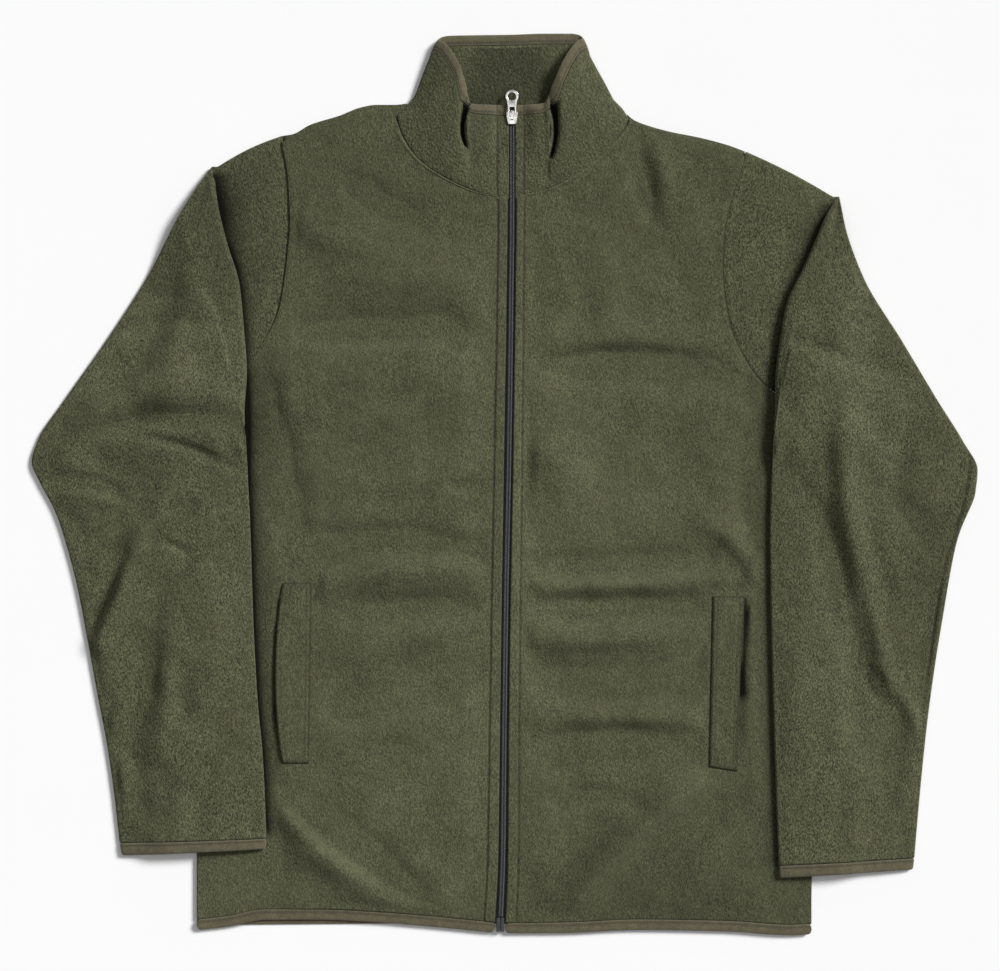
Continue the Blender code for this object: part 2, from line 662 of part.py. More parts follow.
def fold_radius(v):
    rise = 0.5 + (4.0 * FOLD_RADIUS - 0.5) * smooth(v / FOLD_OPENS_BY)
    return np.maximum(FOLD_RADIUS, rise / (2.0 * (1.0 - np.cos(fold_angle(v)))))


def fold_depth(side, v):
    """How deep the tuck runs: a sliver at the shoulder edge, its full depth at the underarm."""
    share = (v - FOLD_OPENS_BY) / (1.0 - FOLD_OPENS_BY)
    return np.maximum(FOLD_DEPTH[side] * np.clip(share, 0.0, 1.0), LEAST_DEPTH)


def fold_rise(side, v):
    turn = fold_angle(v)
    return 2.0 * fold_radius(v) * (1.0 - np.cos(turn)) + fold_depth(side, v) * np.sin(turn)


def arm_level(side, x, y):
    """Height of the hanging sleeve's middle: up over the fold and the body, down to the floor outside."""
    out = OUTWARD[side]
    table = np.array(SLEEVE_FOLDS[side], float)[::-1]
    top, bottom = table[-1, 1], table[0, 1]
    v = np.clip((top - y) / (top - bottom), 0.0, 1.0)
    edge = out * np.interp(y, table[:, 1], table[:, 0])
    beyond = out * x - (edge + fold_depth(side, v) + 3.0 * FOLD_RADIUS + 14.0)
    on_fold = (1.0 - smooth(beyond / 32.0)) * (1.0 - smooth((bottom - 14.0 - y) / 36.0))
    body_side = abs(SIDE_LEFT if side == "left" else SIDE_RIGHT)
    on_body = (1.0 - smooth((out * x - body_side - 26.0) / 30.0)) * smooth((140.0 - y) / 50.0)
    over_body = 2.0 * LAYER * on_body
    return WALL_HALF + np.maximum(fold_rise(side, v) * on_fold, over_body)


def arm_loft(side, x, y, share):
    """Extra rise of the upper layer: a round cushion across the sleeve, and its folds."""
    cushion = np.sin(np.pi * np.clip(share, 0.0, 1.0)) ** 0.7
    return cushion * (SLEEVE_LOFT + fold_heights(x, y, ARM_FOLDS[side]))


def arm_rings(side):
    """Middle of the hanging sleeve, a ring for each section, and the rise of its upper layer."""
    rows = np.array(ARMS[side], float)
    knots = np.arange(len(rows), dtype=float)
    rows = through(knots, rows, np.concatenate([knots[:9], [8.6, 9.2, 9.7, 10.3, 11.0]]))
    outer, inner = rows[:, :2], rows[:, 2:]
    width = np.linalg.norm(outer - inner, axis=1)
    share = WALL_HALF / width[:, None] + COLUMNS * (1.0 - 2.0 * WALL_HALF / width[:, None])
    plan = outer[:, None] + share[..., None] * (inner - outer)[:, None]
    fold = fold_line(side)
    straight = fold[0] + COLUMNS[:, None] * (fold[-1] - fold[0])
    fade = smooth(1.0 - (np.arange(len(rows)) + 1.0) / 5.0)
    plan += fade[:, None, None] * (fold - straight)
    x, y = plan[..., 0], plan[..., 1]
    middle = np.concatenate([plan, arm_level(side, x, y)[..., None]], axis=-1)
    loft = arm_loft(side, x, y, np.broadcast_to(COLUMNS, x.shape))
    return middle, loft


def fold_line(side):
    """The visible fold at each column, evenly spaced in y."""
    table = np.array(SLEEVE_FOLDS[side], float)[::-1]
    y = table[-1, 1] + COLUMNS * (table[0, 1] - table[-1, 1])
    return np.stack([through(table[:, 1], table[:, 0], y)[:, 0], y], axis=1)


def head_rings(side):
    """Sleeve head from the armhole, under the fold and back out to its visible edge."""
    out = np.array([OUTWARD[side], 0.0])
    turn, radius = fold_angle(COLUMNS), fold_radius(COLUMNS)
    depth = fold_depth(side, COLUMNS)
    seam = along_line(beside(armhole(side), OUTWARD[side] * SEAM), COLUMNS)
    seam[0] += (0.0, -WALL_HALF)
    seam[-1] += (0.0, WALL_HALF)
    edge = fold_line(side)
    edge[0] += (-out[0] * WALL_HALF, -WALL_HALF)
    end = edge + out * (radius * np.sin(np.minimum(turn, 0.5 * math.pi)))[:, None]
    top = WALL_HALF + fold_rise(side, COLUMNS)

    def place(base, height, across, rise):
        plan = base + out * across[:, None]
        return np.concatenate([plan, (height + rise)[:, None]], axis=1)

    zero = np.zeros(len(COLUMNS))
    second, second_angle = [], []
    for k in range(ARC_STEPS + 1):
        angle = turn * (1.0 - k / ARC_STEPS)
        second.append(place(end, top, -radius * np.sin(angle), -radius * (1.0 - np.cos(angle))))
        second_angle.append(angle)
    hidden = second[0] + np.concatenate(
        [-out * (depth * np.cos(turn))[:, None], -(depth * np.sin(turn))[:, None]], axis=1)
    first, first_angle = [], []
    for k in range(ARC_STEPS + 1):
        angle = turn * (k / ARC_STEPS)
        across = -radius * (np.sin(turn) - np.sin(angle))
        rise = -radius * (np.cos(angle) - np.cos(turn))
        first.append(place(hidden[:, :2], hidden[:, 2], across, rise))
        first_angle.append(angle)
    start = first[0]
    head, head_angle = [], []
    for t in (0.0, 0.25, 0.5, 0.75):
        row = np.empty_like(start)
        row[:, :2] = seam + t * (start[:, :2] - seam)
        row[:, 1] += HEAD_BOW[side] * math.sin(math.pi * t) * (1.0 - smooth(COLUMNS / 0.3))
        row[:, 2] = WALL_HALF
        head.append(row)
        head_angle.append(zero)
    between = [0.5 * (first[-1] + second[0])]
    middle = np.array(head + first + between + second)
    angle = np.array(head_angle + first_angle + [turn] + second_angle)
    return middle, angle


def head_loft(side, middle, angle):
    """The sleeve head puffs up a little where nothing lies on it."""
    out = OUTWARD[side]
    x, y = middle[..., 0], middle[..., 1]
    table = np.array(SLEEVE_FOLDS[side], float)[::-1]
    clear = out * np.interp(y, table[:, 1], table[:, 0]) - 6.0 - out * x
    seam = np.array(armhole(side), float)[::-1]
    past = out * x - out * np.interp(y, seam[:, 1], seam[:, 0])
    puff = smooth(clear / 18.0) * smooth(past / 14.0) * np.sin(np.pi * COLUMNS) ** 0.5
    return 2.0 * puff * (np.abs(angle) < 1e-9)


def shell_rings(middle, normal, wall, gap, loft):
    """Outer and inner rings round a flat tube: upper layer, inner edge, lower layer, outer edge."""
    across = np.gradient(middle, axis=1)
    across -= normal * (across * normal).sum(-1, keepdims=True)
    across /= np.linalg.norm(across, axis=-1, keepdims=True)
    shells = []
    for half in (0.5 * gap + wall, 0.5 * gap):
        upper = middle + normal * (half + loft[..., None])
        lower = middle - normal * half
        turns = np.linspace(0.0, math.pi, EDGE_STEPS + 1)[1:-1]
        inner_edge = [
            middle[:, -1] + half * (math.cos(a) * normal[:, -1] + math.sin(a) * across[:, -1]) for a in turns
        ]
        outer_edge = [
            middle[:, 0] - half * (math.cos(a) * normal[:, 0] + math.sin(a) * across[:, 0]) for a in turns
        ]
        ring = [upper, np.stack(inner_edge, axis=1), lower[:, ::-1], np.stack(outer_edge, axis=1)]
        shells.append(np.concatenate(ring, axis=1))
    return shells


def upright(shape):
    """Normals that point straight up."""
    normal = np.zeros((*shape, 3))
    normal[..., 2] = 1.0
    return normal


def add_sleeves(collection):
    for side in ("left", "right"):
        head, angle = head_rings(side)
        arm, arm_rise = arm_rings(side)
        head_rise = head_loft(side, head, angle)
        head_normal = np.stack(
            [-OUTWARD[side] * np.sin(angle), np.zeros_like(angle), np.cos(angle)], axis=-1)
        middle = np.concatenate([head, arm])
        normal = np.concatenate([head_normal, upright(arm.shape[:2])])
        arm_rise[0] *= 0.35
        arm_rise[1] *= 0.75
        loft = np.concatenate([head_rise, arm_rise])
        outer, inner = shell_rings(middle, normal, CLOTH, GAP, loft)
        name = f"sleeve_{side}"
        add_closed(collection, name, tube_mesh(name, outer, inner), FLEECE)


def add_cuff_bindings(collection):
    """A slightly thicker band round the end of each sleeve."""
    for side in ("left", "right"):
        top = np.array(ARMS[side][-1], float)
        end = np.array(CUFF_ENDS[side], float)
        depth = np.linalg.norm(end[:2] - top[:2])
        rows = np.array([top + (end - top) * t for t in (GAP / depth, 0.5, 1.0)])
        outer, inner = rows[:, :2], rows[:, 2:]
        half = CUFF_BINDING_WALL + 0.5 * GAP
        inset = half / np.linalg.norm(outer - inner, axis=1)[:, None]
        columns = COLUMNS[[0, 2, 4, 6, 7, 8, 9, 10, 11]]
        share = inset + columns * (1.0 - 2.0 * inset)
        plan = outer[:, None] + share[..., None] * (inner - outer)[:, None]
        x, y = plan[..., 0], plan[..., 1]
        level = arm_level(side, x, y) + half - WALL_HALF
        middle = np.concatenate([plan, level[..., None]], axis=-1)
        loft = arm_loft(side, x, y, np.broadcast_to(columns, x.shape))
        outer, inner = shell_rings(middle, upright(x.shape), CUFF_BINDING_WALL, GAP, loft)
        name = f"cuff_binding_{side}"
        add_closed(collection, name, tube_mesh(name, outer, inner), TRIM)


# ---- collar ----

def collar_rows():
    """Stations all round the collar, from the left edge of the zip to the right edge."""
    table = np.array(COLLAR_LEFT + COLLAR_RIGHT[-2::-1], float)
    along = np.concatenate([[0.0], np.cumsum(np.linalg.norm(np.diff(table, axis=0), axis=1))])
    where = [0.0]
    for start, end in zip(along[:-1], along[1:]):
        steps = max(1, round((end - start) / (2.0 * COLLAR_STEP)))
        where += list(start + (end - start) * (np.arange(steps) + 1.0) / steps)
    return through(along, table, where)


def draw_in(grid, stations, v):
    """Moves the wall's points towards the collar's middle where it folds back at the shoulders."""
    at_fold = smooth((np.abs(stations[:, :1] - COLLAR_MIDDLE) - 50.0) / 45.0)
    drawn = {}
    for side, table in COLLAR_WAIST.items():
        heights, shares = np.array(table).T
        drawn[side] = np.interp(v, heights, shares)
    share = at_fold * np.where(stations[:, :1] < COLLAR_MIDDLE, drawn["left"], drawn["right"])
    grid[..., 0] += share * (COLLAR_MIDDLE - grid[..., 0])


def binding_starts(stations):
    """Share of the height where the binding starts, so that it is equally wide where the band leans over."""
    edge = np.gradient(stations[:, 3:5], axis=0)
    edge /= np.linalg.norm(edge, axis=1)[:, None]
    up = stations[:, 3:5] - stations[:, 0:2]
    square = np.abs(edge[:, 0] * up[:, 1] - edge[:, 1] * up[:, 0])
    straight = 1.0 - BINDING / COLLAR_HEIGHT
    least = np.interp(stations[:, 4], COLLAR_CORNER, (straight, COLLAR_SPLIT_LEAST))
    return np.clip(1.0 - BINDING / square, least, straight)


def collar_sheets(thickness, stations, v):
    """Lower and upper faces of the collar's wall at each station's own shares of its height."""
    grid = stations[:, None, :3] * (1.0 - v[..., None]) + stations[:, None, 3:] * v[..., None]
    draw_in(grid, stations, v)
    swell = np.sin(np.pi * v) * smooth((stations[:, None, 5] - 6.0) / 6.0)
    grid[..., 2] += COLLAR_SWELL * swell
    normal = np.cross(np.gradient(grid, axis=0), np.gradient(grid, axis=1))
    normal /= np.linalg.norm(normal, axis=-1, keepdims=True)
    return grid - 0.5 * thickness * normal, grid + 0.5 * thickness * normal


def add_collar(collection):
    """The band and the binding on its top edge, cut from one surface with a seam between."""
    stations = collar_rows()
    split = binding_starts(stations)[:, None]
    seam = 5.0 * SEAM / BINDING * (1.0 - split)
    band = (split - seam) * np.linspace(0.0, 1.0, COLLAR_ROWS)
    binding = split + (1.0 - split) * np.linspace(0.0, 1.0, 3)
    both = np.concatenate([band, binding], axis=1)
    for name, thickness, part, colour in (
        ("collar", CLOTH, slice(0, COLLAR_ROWS), FLEECE),
        ("collar_binding", COLLAR_BINDING_THICK, slice(COLLAR_ROWS, None), TRIM),
    ):
        lower, upper = collar_sheets(thickness, stations, both)
        add_closed(collection, name, wall_mesh(name, lower[:, part], upper[:, part]), colour)


# ---- zip ----

def add_zip(collection):
    tape_low, coil_low = FRONT_LOW, FRONT_LOW + TAPE_THICK + GAP
    y = np.linspace(ZIP_BOTTOM, ZIP_TOP, 16)
    for side, out in OUTWARD.items():
        for name, width, low, high in (
            ("zip_tape", TAPE_WIDTH, tape_low, tape_low + TAPE_THICK),
            ("zip_coil", COIL_WIDTH, coil_low, coil_low + COIL_HEIGHT),
        ):
            middle = zip_x(y) + out * 0.5 * (width + GAP)
            mesh = bar_mesh(f"{name}_{side}", np.stack([middle, y], axis=1), width, low, high, 0.25)
            add_closed(collection, f"{name}_{side}", mesh, BLACK, 0.6)
    bpy.ops.mesh.primitive_cube_add(size=1.0)
    box = bpy.context.object
    width, depth, tall = (size * MM for size in BOX_SIZE)
    box.scale = (width, depth, tall)
    middle_y = ZIP_BOTTOM - 0.5 * BOX_SIZE[1] - GAP
    box.location = (zip_x(np.array(middle_y)) * MM, middle_y * MM, (FRONT_LOW + GAP) * MM + 0.5 * tall)
    finish_block(collection, box, "zip_box", BLACK, 0.4, 0.0)


def finish_block(collection, block, name, colour, roughness, metallic):
    """Names a primitive, applies its scale and softens its edges."""
    bpy.ops.object.transform_apply(location=False, rotation=False, scale=True)
    block.name = name
    block.data.name = name
    block.data.materials.append(make_material(name, colour, roughness, metallic))
    for held in list(block.users_collection):
        held.objects.unlink(block)
    collection.objects.link(block)
    edge = block.modifiers.new("Edges", "BEVEL")
    edge.width = 0.3 * MM
    edge.segments = 1
    return block


def arc_points(centre, radius, start, end, steps):
    angles = np.radians(np.linspace(start, end, steps))
    return np.stack([centre[0] + radius * np.cos(angles), centre[1] + radius * np.sin(angles)], axis=1)


def add_slider(collection):
    """Slider body over the coil, with the arch that the pull tab swings on."""
    centre_x = float(zip_x(np.array(HINGE_Y)))
    width, depth, thick = SLIDER_SIZE
    bpy.ops.mesh.primitive_cube_add(size=1.0)
    plate = bpy.context.object
    plate.scale = (width * MM, depth * MM, thick * MM)
    plate.location = (centre_x * MM, SLIDER_Y * MM, (SLIDER_LOW + 0.5 * thick) * MM)
    slider = finish_block(collection, plate, "zip_slider", STEEL, 0.25, 1.0)

    core_low = FRONT_LOW + TAPE_THICK + GAP + COIL_HEIGHT + GAP
    core_high = SLIDER_LOW + 0.5 * thick
    bpy.ops.mesh.primitive_cube_add(size=1.0)
    core = bpy.context.object
    core.name = "slider_core"
    core.scale = (CORE_SIZE[0] * MM, CORE_SIZE[1] * MM, (core_high - core_low) * MM)
    core.location = (centre_x * MM, SLIDER_Y * MM, 0.5 * (core_low + core_high) * MM)

    reach = SLIDER_LOW + 0.5 * thick - HINGE_Z
    outer_top, inner_top = ARCH_CLEAR + ARCH_THICK, ARCH_CLEAR
    bend_y = outer_top - ARCH_CORNER
    legs = [(ARCH_FRONT, reach)]
    legs += arc_points((ARCH_FRONT - ARCH_CORNER, bend_y), ARCH_CORNER, 0.0, 90.0, 4).tolist()
    legs += arc_points((ARCH_CORNER - ARCH_BACK, bend_y), ARCH_CORNER, 90.0, 180.0, 4).tolist()
    legs += [(-ARCH_BACK, reach), (-ARCH_BACK + ARCH_THICK, reach), (-ARCH_BACK + ARCH_THICK, inner_top)]
    legs += [(ARCH_FRONT - ARCH_THICK, inner_top), (ARCH_FRONT - ARCH_THICK, reach)]
    mesh = outline_mesh("slider_arch", [legs], 2.0 * ARCH_HALF_WIDTH)
    arch = bpy.data.objects.new("slider_arch", mesh)
    arch.rotation_euler = (math.pi / 2.0, 0.0, math.pi / 2.0)
    arch.location = (centre_x * MM, HINGE_Y * MM, HINGE_Z * MM)

    guides = bpy.data.collections.new("joined_shapes")
    bpy.context.scene.collection.children.link(guides)
    for shape in (core, arch):
        for held in list(shape.users_collection):
            held.objects.unlink(shape)
        guides.objects.link(shape)
        shape.hide_render = True
        shape.display_type = "WIRE"
        join = slider.modifiers.new(f"Join {shape.name}", "BOOLEAN")
        join.operation = "UNION"
        join.solver = "EXACT"
        join.object = shape


def add_pull_tab(collection):
    """Flat tab with a ring at its end; its slot and crossbar hook under the slider's arch."""
    outer = arc_points((0.0, TAB_RING_CENTRE), TAB_RING_RADIUS, -38.0, 218.0, 20).tolist()
    outer += [(-TAB_WAIST_HALF, TAB_SLOT_END + 0.5), (-TAB_WAIST_HALF, -BAR_HALF)]
    outer += [(TAB_WAIST_HALF, -BAR_HALF), (TAB_WAIST_HALF, TAB_SLOT_END + 0.5)]
    hole = arc_points((0.0, TAB_RING_CENTRE), TAB_HOLE_RADIUS, 360.0, 22.5, 16).tolist()
    slot = [(TAB_SLOT_HALF, BAR_HALF), (-TAB_SLOT_HALF, BAR_HALF)]
    slot += [(-TAB_SLOT_HALF, TAB_SLOT_END - 0.8), (-TAB_SLOT_HALF + 0.8, TAB_SLOT_END)]
    slot += [(TAB_SLOT_HALF - 0.8, TAB_SLOT_END), (TAB_SLOT_HALF, TAB_SLOT_END - 0.8)]
    mesh = outline_mesh("zip_pull_tab", [outer, hole, slot], TAB_THICK)
    tab = add_closed(collection, "zip_pull_tab", mesh, STEEL, 0.25, 1.0)
    tab.location = (float(zip_x(np.array(HINGE_Y))) * MM, HINGE_Y * MM, HINGE_Z * MM)


def main():
    for old in list(bpy.data.objects):
        bpy.data.objects.remove(old)
    jacket = bpy.data.collections.new("fleece_jacket")
    bpy.context.scene.collection.children.link(jacket)
    add_back(jacket)
    add_fronts(jacket)
    add_sleeves(jacket)
    add_cuff_bindings(jacket)
    add_collar(jacket)
    add_hem_bindings(jacket)
    add_pockets(jacket)
    add_zip(jacket)
    add_slider(jacket)
    add_pull_tab(jacket)


if __name__ == "__main__":
    main()
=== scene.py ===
"""Looks of a fleece jacket with a stand collar and a full zip, laid flat on its back.

Seen from above, +Y runs towards the collar and +X to the viewer's right. Left and right are the viewer's.
Shapes are worked out in millimetres and turned into metres when a mesh is made.
"""

import math
from collections import namedtuple

import bmesh
import bpy
import numpy as np
from bpy.props import FloatProperty, FloatVectorProperty, PointerProperty
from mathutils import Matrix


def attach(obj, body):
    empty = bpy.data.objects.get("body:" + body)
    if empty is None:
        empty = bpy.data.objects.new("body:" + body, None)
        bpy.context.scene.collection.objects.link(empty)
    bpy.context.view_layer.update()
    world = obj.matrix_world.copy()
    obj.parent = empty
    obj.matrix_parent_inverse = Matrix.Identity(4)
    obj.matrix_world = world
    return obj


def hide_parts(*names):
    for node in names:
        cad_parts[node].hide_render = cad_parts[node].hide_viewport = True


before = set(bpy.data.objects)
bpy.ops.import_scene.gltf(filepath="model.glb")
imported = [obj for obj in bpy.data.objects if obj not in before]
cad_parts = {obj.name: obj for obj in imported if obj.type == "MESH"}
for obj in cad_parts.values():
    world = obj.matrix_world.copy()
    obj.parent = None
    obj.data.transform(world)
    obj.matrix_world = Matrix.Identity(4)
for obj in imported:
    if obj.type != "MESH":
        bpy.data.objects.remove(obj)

bl_info = {
    "name": "Fleece jacket",
    "version": (1, 0, 0),
    "blender": (4, 5, 0),
    "location": "3D View > Sidebar > Jacket",
    "description": "Dresses a laid-out fleece jacket: cloth, bindings, stitching, zip and studio",
    "category": "Object",
}

MM = 0.001


def table_of(kind, *numbers):
    """A named row of numbers for each tuple of a table."""
    return tuple(kind(*row) for row in numbers)


# Colours of the zip's parts, in linear light
COIL_COLOUR = (0.058, 0.06, 0.065)
COIL_THREAD_COLOUR = (0.10, 0.10, 0.112)
TAPE_COLOUR = (0.045, 0.046, 0.046)
BOX_COLOUR = (0.03, 0.032, 0.036)
BRIGHT_METAL = (0.86, 0.85, 0.83)
DULL_METAL = (0.62, 0.61, 0.59)
# The way the nap runs along each hanging sleeve, in degrees, and how strongly its fibres and pebbles show
NAP_ANGLE = {"left": -11.0, "right": 9.0}
SLEEVE_CONTRAST = 0.70
COLLAR_PEBBLES = 0.8
# Studio: where the key light stands, how wide it looks in degrees, and the overhead light and floor in metres
KEY_AIM = (0.76, 0.50, 0.60)
KEY_SPREAD = 19.0
FILL_SIZE = 2.1
FILL_PLACE = (-0.2, -0.2, 3.4)
FLOOR_SIZE = 12.0

# The way from the middle of the body to each side
OUTWARD = {"left": -1.0, "right": 1.0}

# Seeds of the swell of each piece
FRONT_SEED = {"left": 3, "right": 5}
SLEEVE_SEED = {"left": 11, "right": 13}
COLLAR_SEED = 17

# Meshing: how close together lines lie by an edge, and how the cloth rolls down towards it
EDGE_ROUND = 1.2
EDGE_LEAST = 0.12
# How far a front's cloth reaches past its outer edge at the armhole and past its edge at the neck
EDGE_MEETS = 0.65
NECK_MEETS = 0.6
# How far the collar reaches below the neck seam, and how far it sinks there
COLLAR_UNDER = 1.0
SEAM_SINKS = 0.45
# Painted shade in a seam and at each armhole, and how much lighter a line beside a seam is: painted light
# along the neck seam, a lighter thread line inside the collar
SEAM_SHADE = 0.4
ARMHOLE_SHADE = {"left": 0.12, "right": 0.85}
SEAM_LIGHT = 0.45
# How far from the armhole its edges stop rounding off, at the low and at the high end
ARMHOLE_MEETS = {"left": (1.5, 0.5), "right": (0.0, 0.0)}
# Cuts round a sleeve's edge, runs along a crease, and the waves of the slight swell
EDGE_CUTS = 9
CREASE_RUNS = 14
WAVE_LENGTHS = (62.0, 44.0, 31.0, 22.0)
WAVE_RISE = 0.13
# Distances of the lines beside each kind of edge; those of sleeves are in rows
HEM_CLOSE = (0.3, 0.7, 1.2, 1.8, 2.6, 3.6, 4.8)
ZIP_EDGE_CLOSE = (
    0, 0.4, 0.8, 1.3, 1.9, 2.6, 3.4, 4.3, 5.2, 6, 6.7, 7.3, 7.9, 8.5, 9.1, 9.7, 10.4, 11.2, 12.4, 14, 16,
)
OUTER_EDGE_CLOSE = (12, 9.5, 7.5, 5.8, 4.4, 3.2, 2.2, 1.4, 0.7, 0.3, 0)
SLEEVE_HEAD_CLOSE = (0.01, 0.02, 0.04, 0.06, 0.09, 0.12, 0.16, 0.2, 0.26, 0.33)
END_ROUND = 3.4
END_CLOSE = (0.0, 0.15, 0.45, 0.9, 1.5, 2.2, 3.0, 3.8)
CUFF_CLOSE = (0.01, 0.02, 0.035, 0.055, 0.08, 0.12)
SLEEVE_WIDTH = 160.0
COLLAR_EDGE_CLOSE = (
    0, 0.3, 0.7, 1.2, 1.8, 2.6, 3.6, 4.8, 6, 6.9, 7.5, 8.1, 8.7, 9.5, 10.2, 10.8, 11.4, 12.2,
)
COLLAR_LOW_CLOSE = (0, *HEM_CLOSE)

# Topstitching: distance from the panel's edge beside the zip at the hem and at the neck, and on the collar
STITCH_BESIDE_ZIP = {"left": (9.8, 8.8), "right": (9.6, 7.4)}
COLLAR_STITCH = {"left": 10.8, "right": 8.1}
STITCH_LOW_Y = -390.0
STITCH_RUN = 640.0
# How far each stitched line lies from its edge, how wide its groove is, how deep the thread lies in it, and
# the painted shade in its groove
WELT_STITCH = 4.4
BINDING_STITCH = 2.4
COLLAR_BINDING_STITCH = 2.3
GROOVE_HALF = 0.9
GROOVE_DEPTH = 0.35
STITCH_SHADE = 0.6
ZIP_STITCH_DEPTH = 0.45
# Width and height of a stitch, and how far its middle lies under its line
THREAD_WIDE = 0.55
THREAD_TALL = 0.5
THREAD_SINKS = 0.1
# Rows of a front at which its inner edge turns along the neck and its outer edge reaches the shoulder
NECK_FIRST_ROW = 10
ROW_BLEND = 0.3
SHOULDER_ROW = 14.2
# Where creases and swell set in: start and run of the way from each kind of edge
CREASES_FROM_SLEEVE = (3.0, 14.0)
CREASES_FROM_EDGE = (3.0, 10.0)
CREASES_FROM_ZIP = (11.0, 12.0)
SWELL_FROM_ZIP = (8.0, 14.0)
CREASES_FROM_SIDE = (1.0, 7.0)
CREASES_FROM_CUFF = (2.0, 8.0)
# Swell beside a seam: how far from the edge it is highest and how wide it is
SWELL_AT = 3.4
SWELL_WIDTH = 2.6
# The seam is pressed flat from here down to the underarm
PRESSED_Y = 130.0
PRESSED_RUN = 100.0
# How far a welt's open edge stands up and bows out
WELT_LIFT = {"left": 0.5, "right": 1.1}
WELT_BOW = {"left": 1.35, "right": -0.4}
WELT_STEP = 1.8
WELT_COLUMNS = 31
# Share of a welt's thickness at its sewn edges, how soon it is full, and how far up its lift reaches
WELT_THIN = 0.3
WELT_FULL_AT = 3.4
WELT_END = 0.04
WELT_LIFT_RUN = 20.0
# Painted shade along a welt's edges, and how much lighter the whole welt is
WELT_EDGE_SHADE = 1.2
WELT_LIGHT = 0.06
COIL_PITCH = 1.35

# The collar's centre front stands up between two deep slits where the collar folds back
CENTRE_LIFT = 4.0
# Start and run of its rise: from the zip, up the height, and drawn down again at the top
CENTRE_FROM_ZIP = (8.0, 11.0)
CENTRE_UPWARD = (0.25, 0.5)
CENTRE_TOP = (0.9, 0.1)
# Start and run of the collar's fold by its distance from the middle, of its swell by the top edge's
# height, and of the part that lies over the fronts by the seam's height
FOLDS_FROM_MIDDLE = (50.0, 45.0)
STANDS_FROM = (6.0, 6.0)
OUTSIDE_FROM = (3.6, 0.8)
# How far along the top edge the centre front ends
CENTRE_EDGE = {"left": 43.0, "right": 33.0}
# The slits' floor, their shade and how far along the top edge they may lie, and the shade inside the collar
SLIT_BOTTOM = 3.7
SLIT_SHADE = 1.55
SLIT_REACH = 95.0
INSIDE_SHADE = 0.62
BACK_START = 150.0
BACK_RUN = 30.0
# The slits beside the welts and in the collar, from the low end up: their inner and outer edges at each y
Slit = namedtuple("Slit", "y inner outer")
HAND_OPENINGS = {
    "left": table_of(
        Slit, (-236, -202, -205.6), (-202, -203, -208), (-165, -203, -207.8), (-132, -202, -206.4),
        (-105, -200, -203),
    ),
    "right": table_of(
        Slit, (-202, 209.2, 217.9), (-191.7, 209.7, 217.8), (-179.1, 210.2, 217.4), (-166.5, 211.2, 217.4),
        (-153.9, 212.2, 217.6), (-141.3, 212.8, 218), (-116, 214.1, 218.9), (-103, 215, 217.4),
    ),
}
OPENING_SHADE = {"left": 1.0, "right": 1.5}
COLLAR_SLITS = {
    "left": table_of(
        Slit, (298, -32.6, -34.6), (302, -33.2, -37.2), (306.3, -33.8, -39), (311.8, -35.2, -40.6),
        (321.3, -35.5, -41.3), (329.7, -33.6, -40.6), (341, -31, -38),
    ),
    "right": table_of(
        Slit, (288, 38.2, 40.8), (292.5, 38.8, 43.6), (297.3, 40.2, 45.6), (304.2, 41.8, 47.2),
        (314.5, 43, 48.8), (328.2, 42, 48.8), (335.2, 40, 48.4), (341.5, 39.2, 47.2),
    ),
}

# Broad soft patches of painted shade, and of painted light where shade is negative
Patch = namedtuple("Patch", "x y wide tall shade")
PAINTED_SHADE_PATCHES = {
    "front_left": table_of(
        Patch, (-130, 262, 130, 62, 0.22), (-100, -285, 110, 70, -0.12), (-60, -205, 80, 90, -0.15),
        (-24, -20, 22, 260, -0.14), (-222, 62, 22, 46, 0.40),
    ),
    "front_right": table_of(
        Patch, (140, 255, 120, 60, 0.13), (70, 40, 60, 150, -0.13), (120, -60, 80, 90, -0.08),
        (160, -372, 130, 42, 0.34), (22, -20, 28, 240, -0.42), (190, -170, 30, 90, -0.16),
        (213, -214, 4, 30, 0.75),
    ),
    "sleeve_left": table_of(Patch, (-330, 105, 52, 60, -0.24), (-245, 235, 42, 75, 0.46)),
    "sleeve_right": table_of(
        Patch, (288, 70, 34, 62, -0.24), (274, -230, 32, 120, -0.22), (372, -90, 30, 100, 0.32),
        (285, 225, 40, 40, 0.12),
    ),
}
# How far the head under the fold's low end is drawn back in line with the hanging sleeve's inner edge
FOLD_DRAWN = {"left": 3.4, "right": 2.6}
DRAWN_ROWS = 2.0
DRAWN_BELOW_Y = 105.0
DRAWN_RUN = 45.0
# The shadow that each sleeve's inner edge leaves on the front: a narrow one and a broad one, down to the cuff
Beside = namedtuple("Beside", "width shade broad_width broad_shade lowest")
SLEEVE_BESIDE = {
    "left": Beside(5.6, 1.35, 19.0, 0.30, -322.0), "right": Beside(8.0, 0.5, 24.0, 0.34, -350.0),
}
SHADOW_TOP_Y = 95.0
SHADOW_TOP_RUN = 45.0
SHADOW_LOW_RUN = 12.0

# Shadow where each sleeve turns back, from the fold's top to its lower end: how far down, how wide, how dark
Hollow = namedtuple("Hollow", "down width shade")
HOLLOW_ENDS = -5.5
FOLD_HOLLOWS = {
    "left": table_of(
        Hollow, (0, 6, 0.5), (9, 14, 1.3), (40, 15, 1.35), (62, 11, 1.15), (82, 8, 1.5), (190, 8, 1.6),
        (240, 7, 1.5),
    ),
    "right": table_of(
        Hollow, (0, 5, 0.7), (9, 13, 1.3), (34, 13.5, 1.3), (77, 13, 0.95), (110, 9.5, 1.05),
        (145, 8.5, 1.4), (175, 9, 1.5), (215, 10, 1.1),
    ),
}

# Cloth and seams
CLOTH = 2.0
GAP = 0.3
LAYER = CLOTH + GAP
FRONT_LOW = LAYER
FRONT_TOP = FRONT_LOW + CLOTH
SEAM = 0.12

# Body
SIDE_LEFT = -277.0
SIDE_RIGHT = 275.5
ZIP_STRIP_RISE = 1.0
BODY_LOFT = 2.0
POCKET_RISE = 2.2
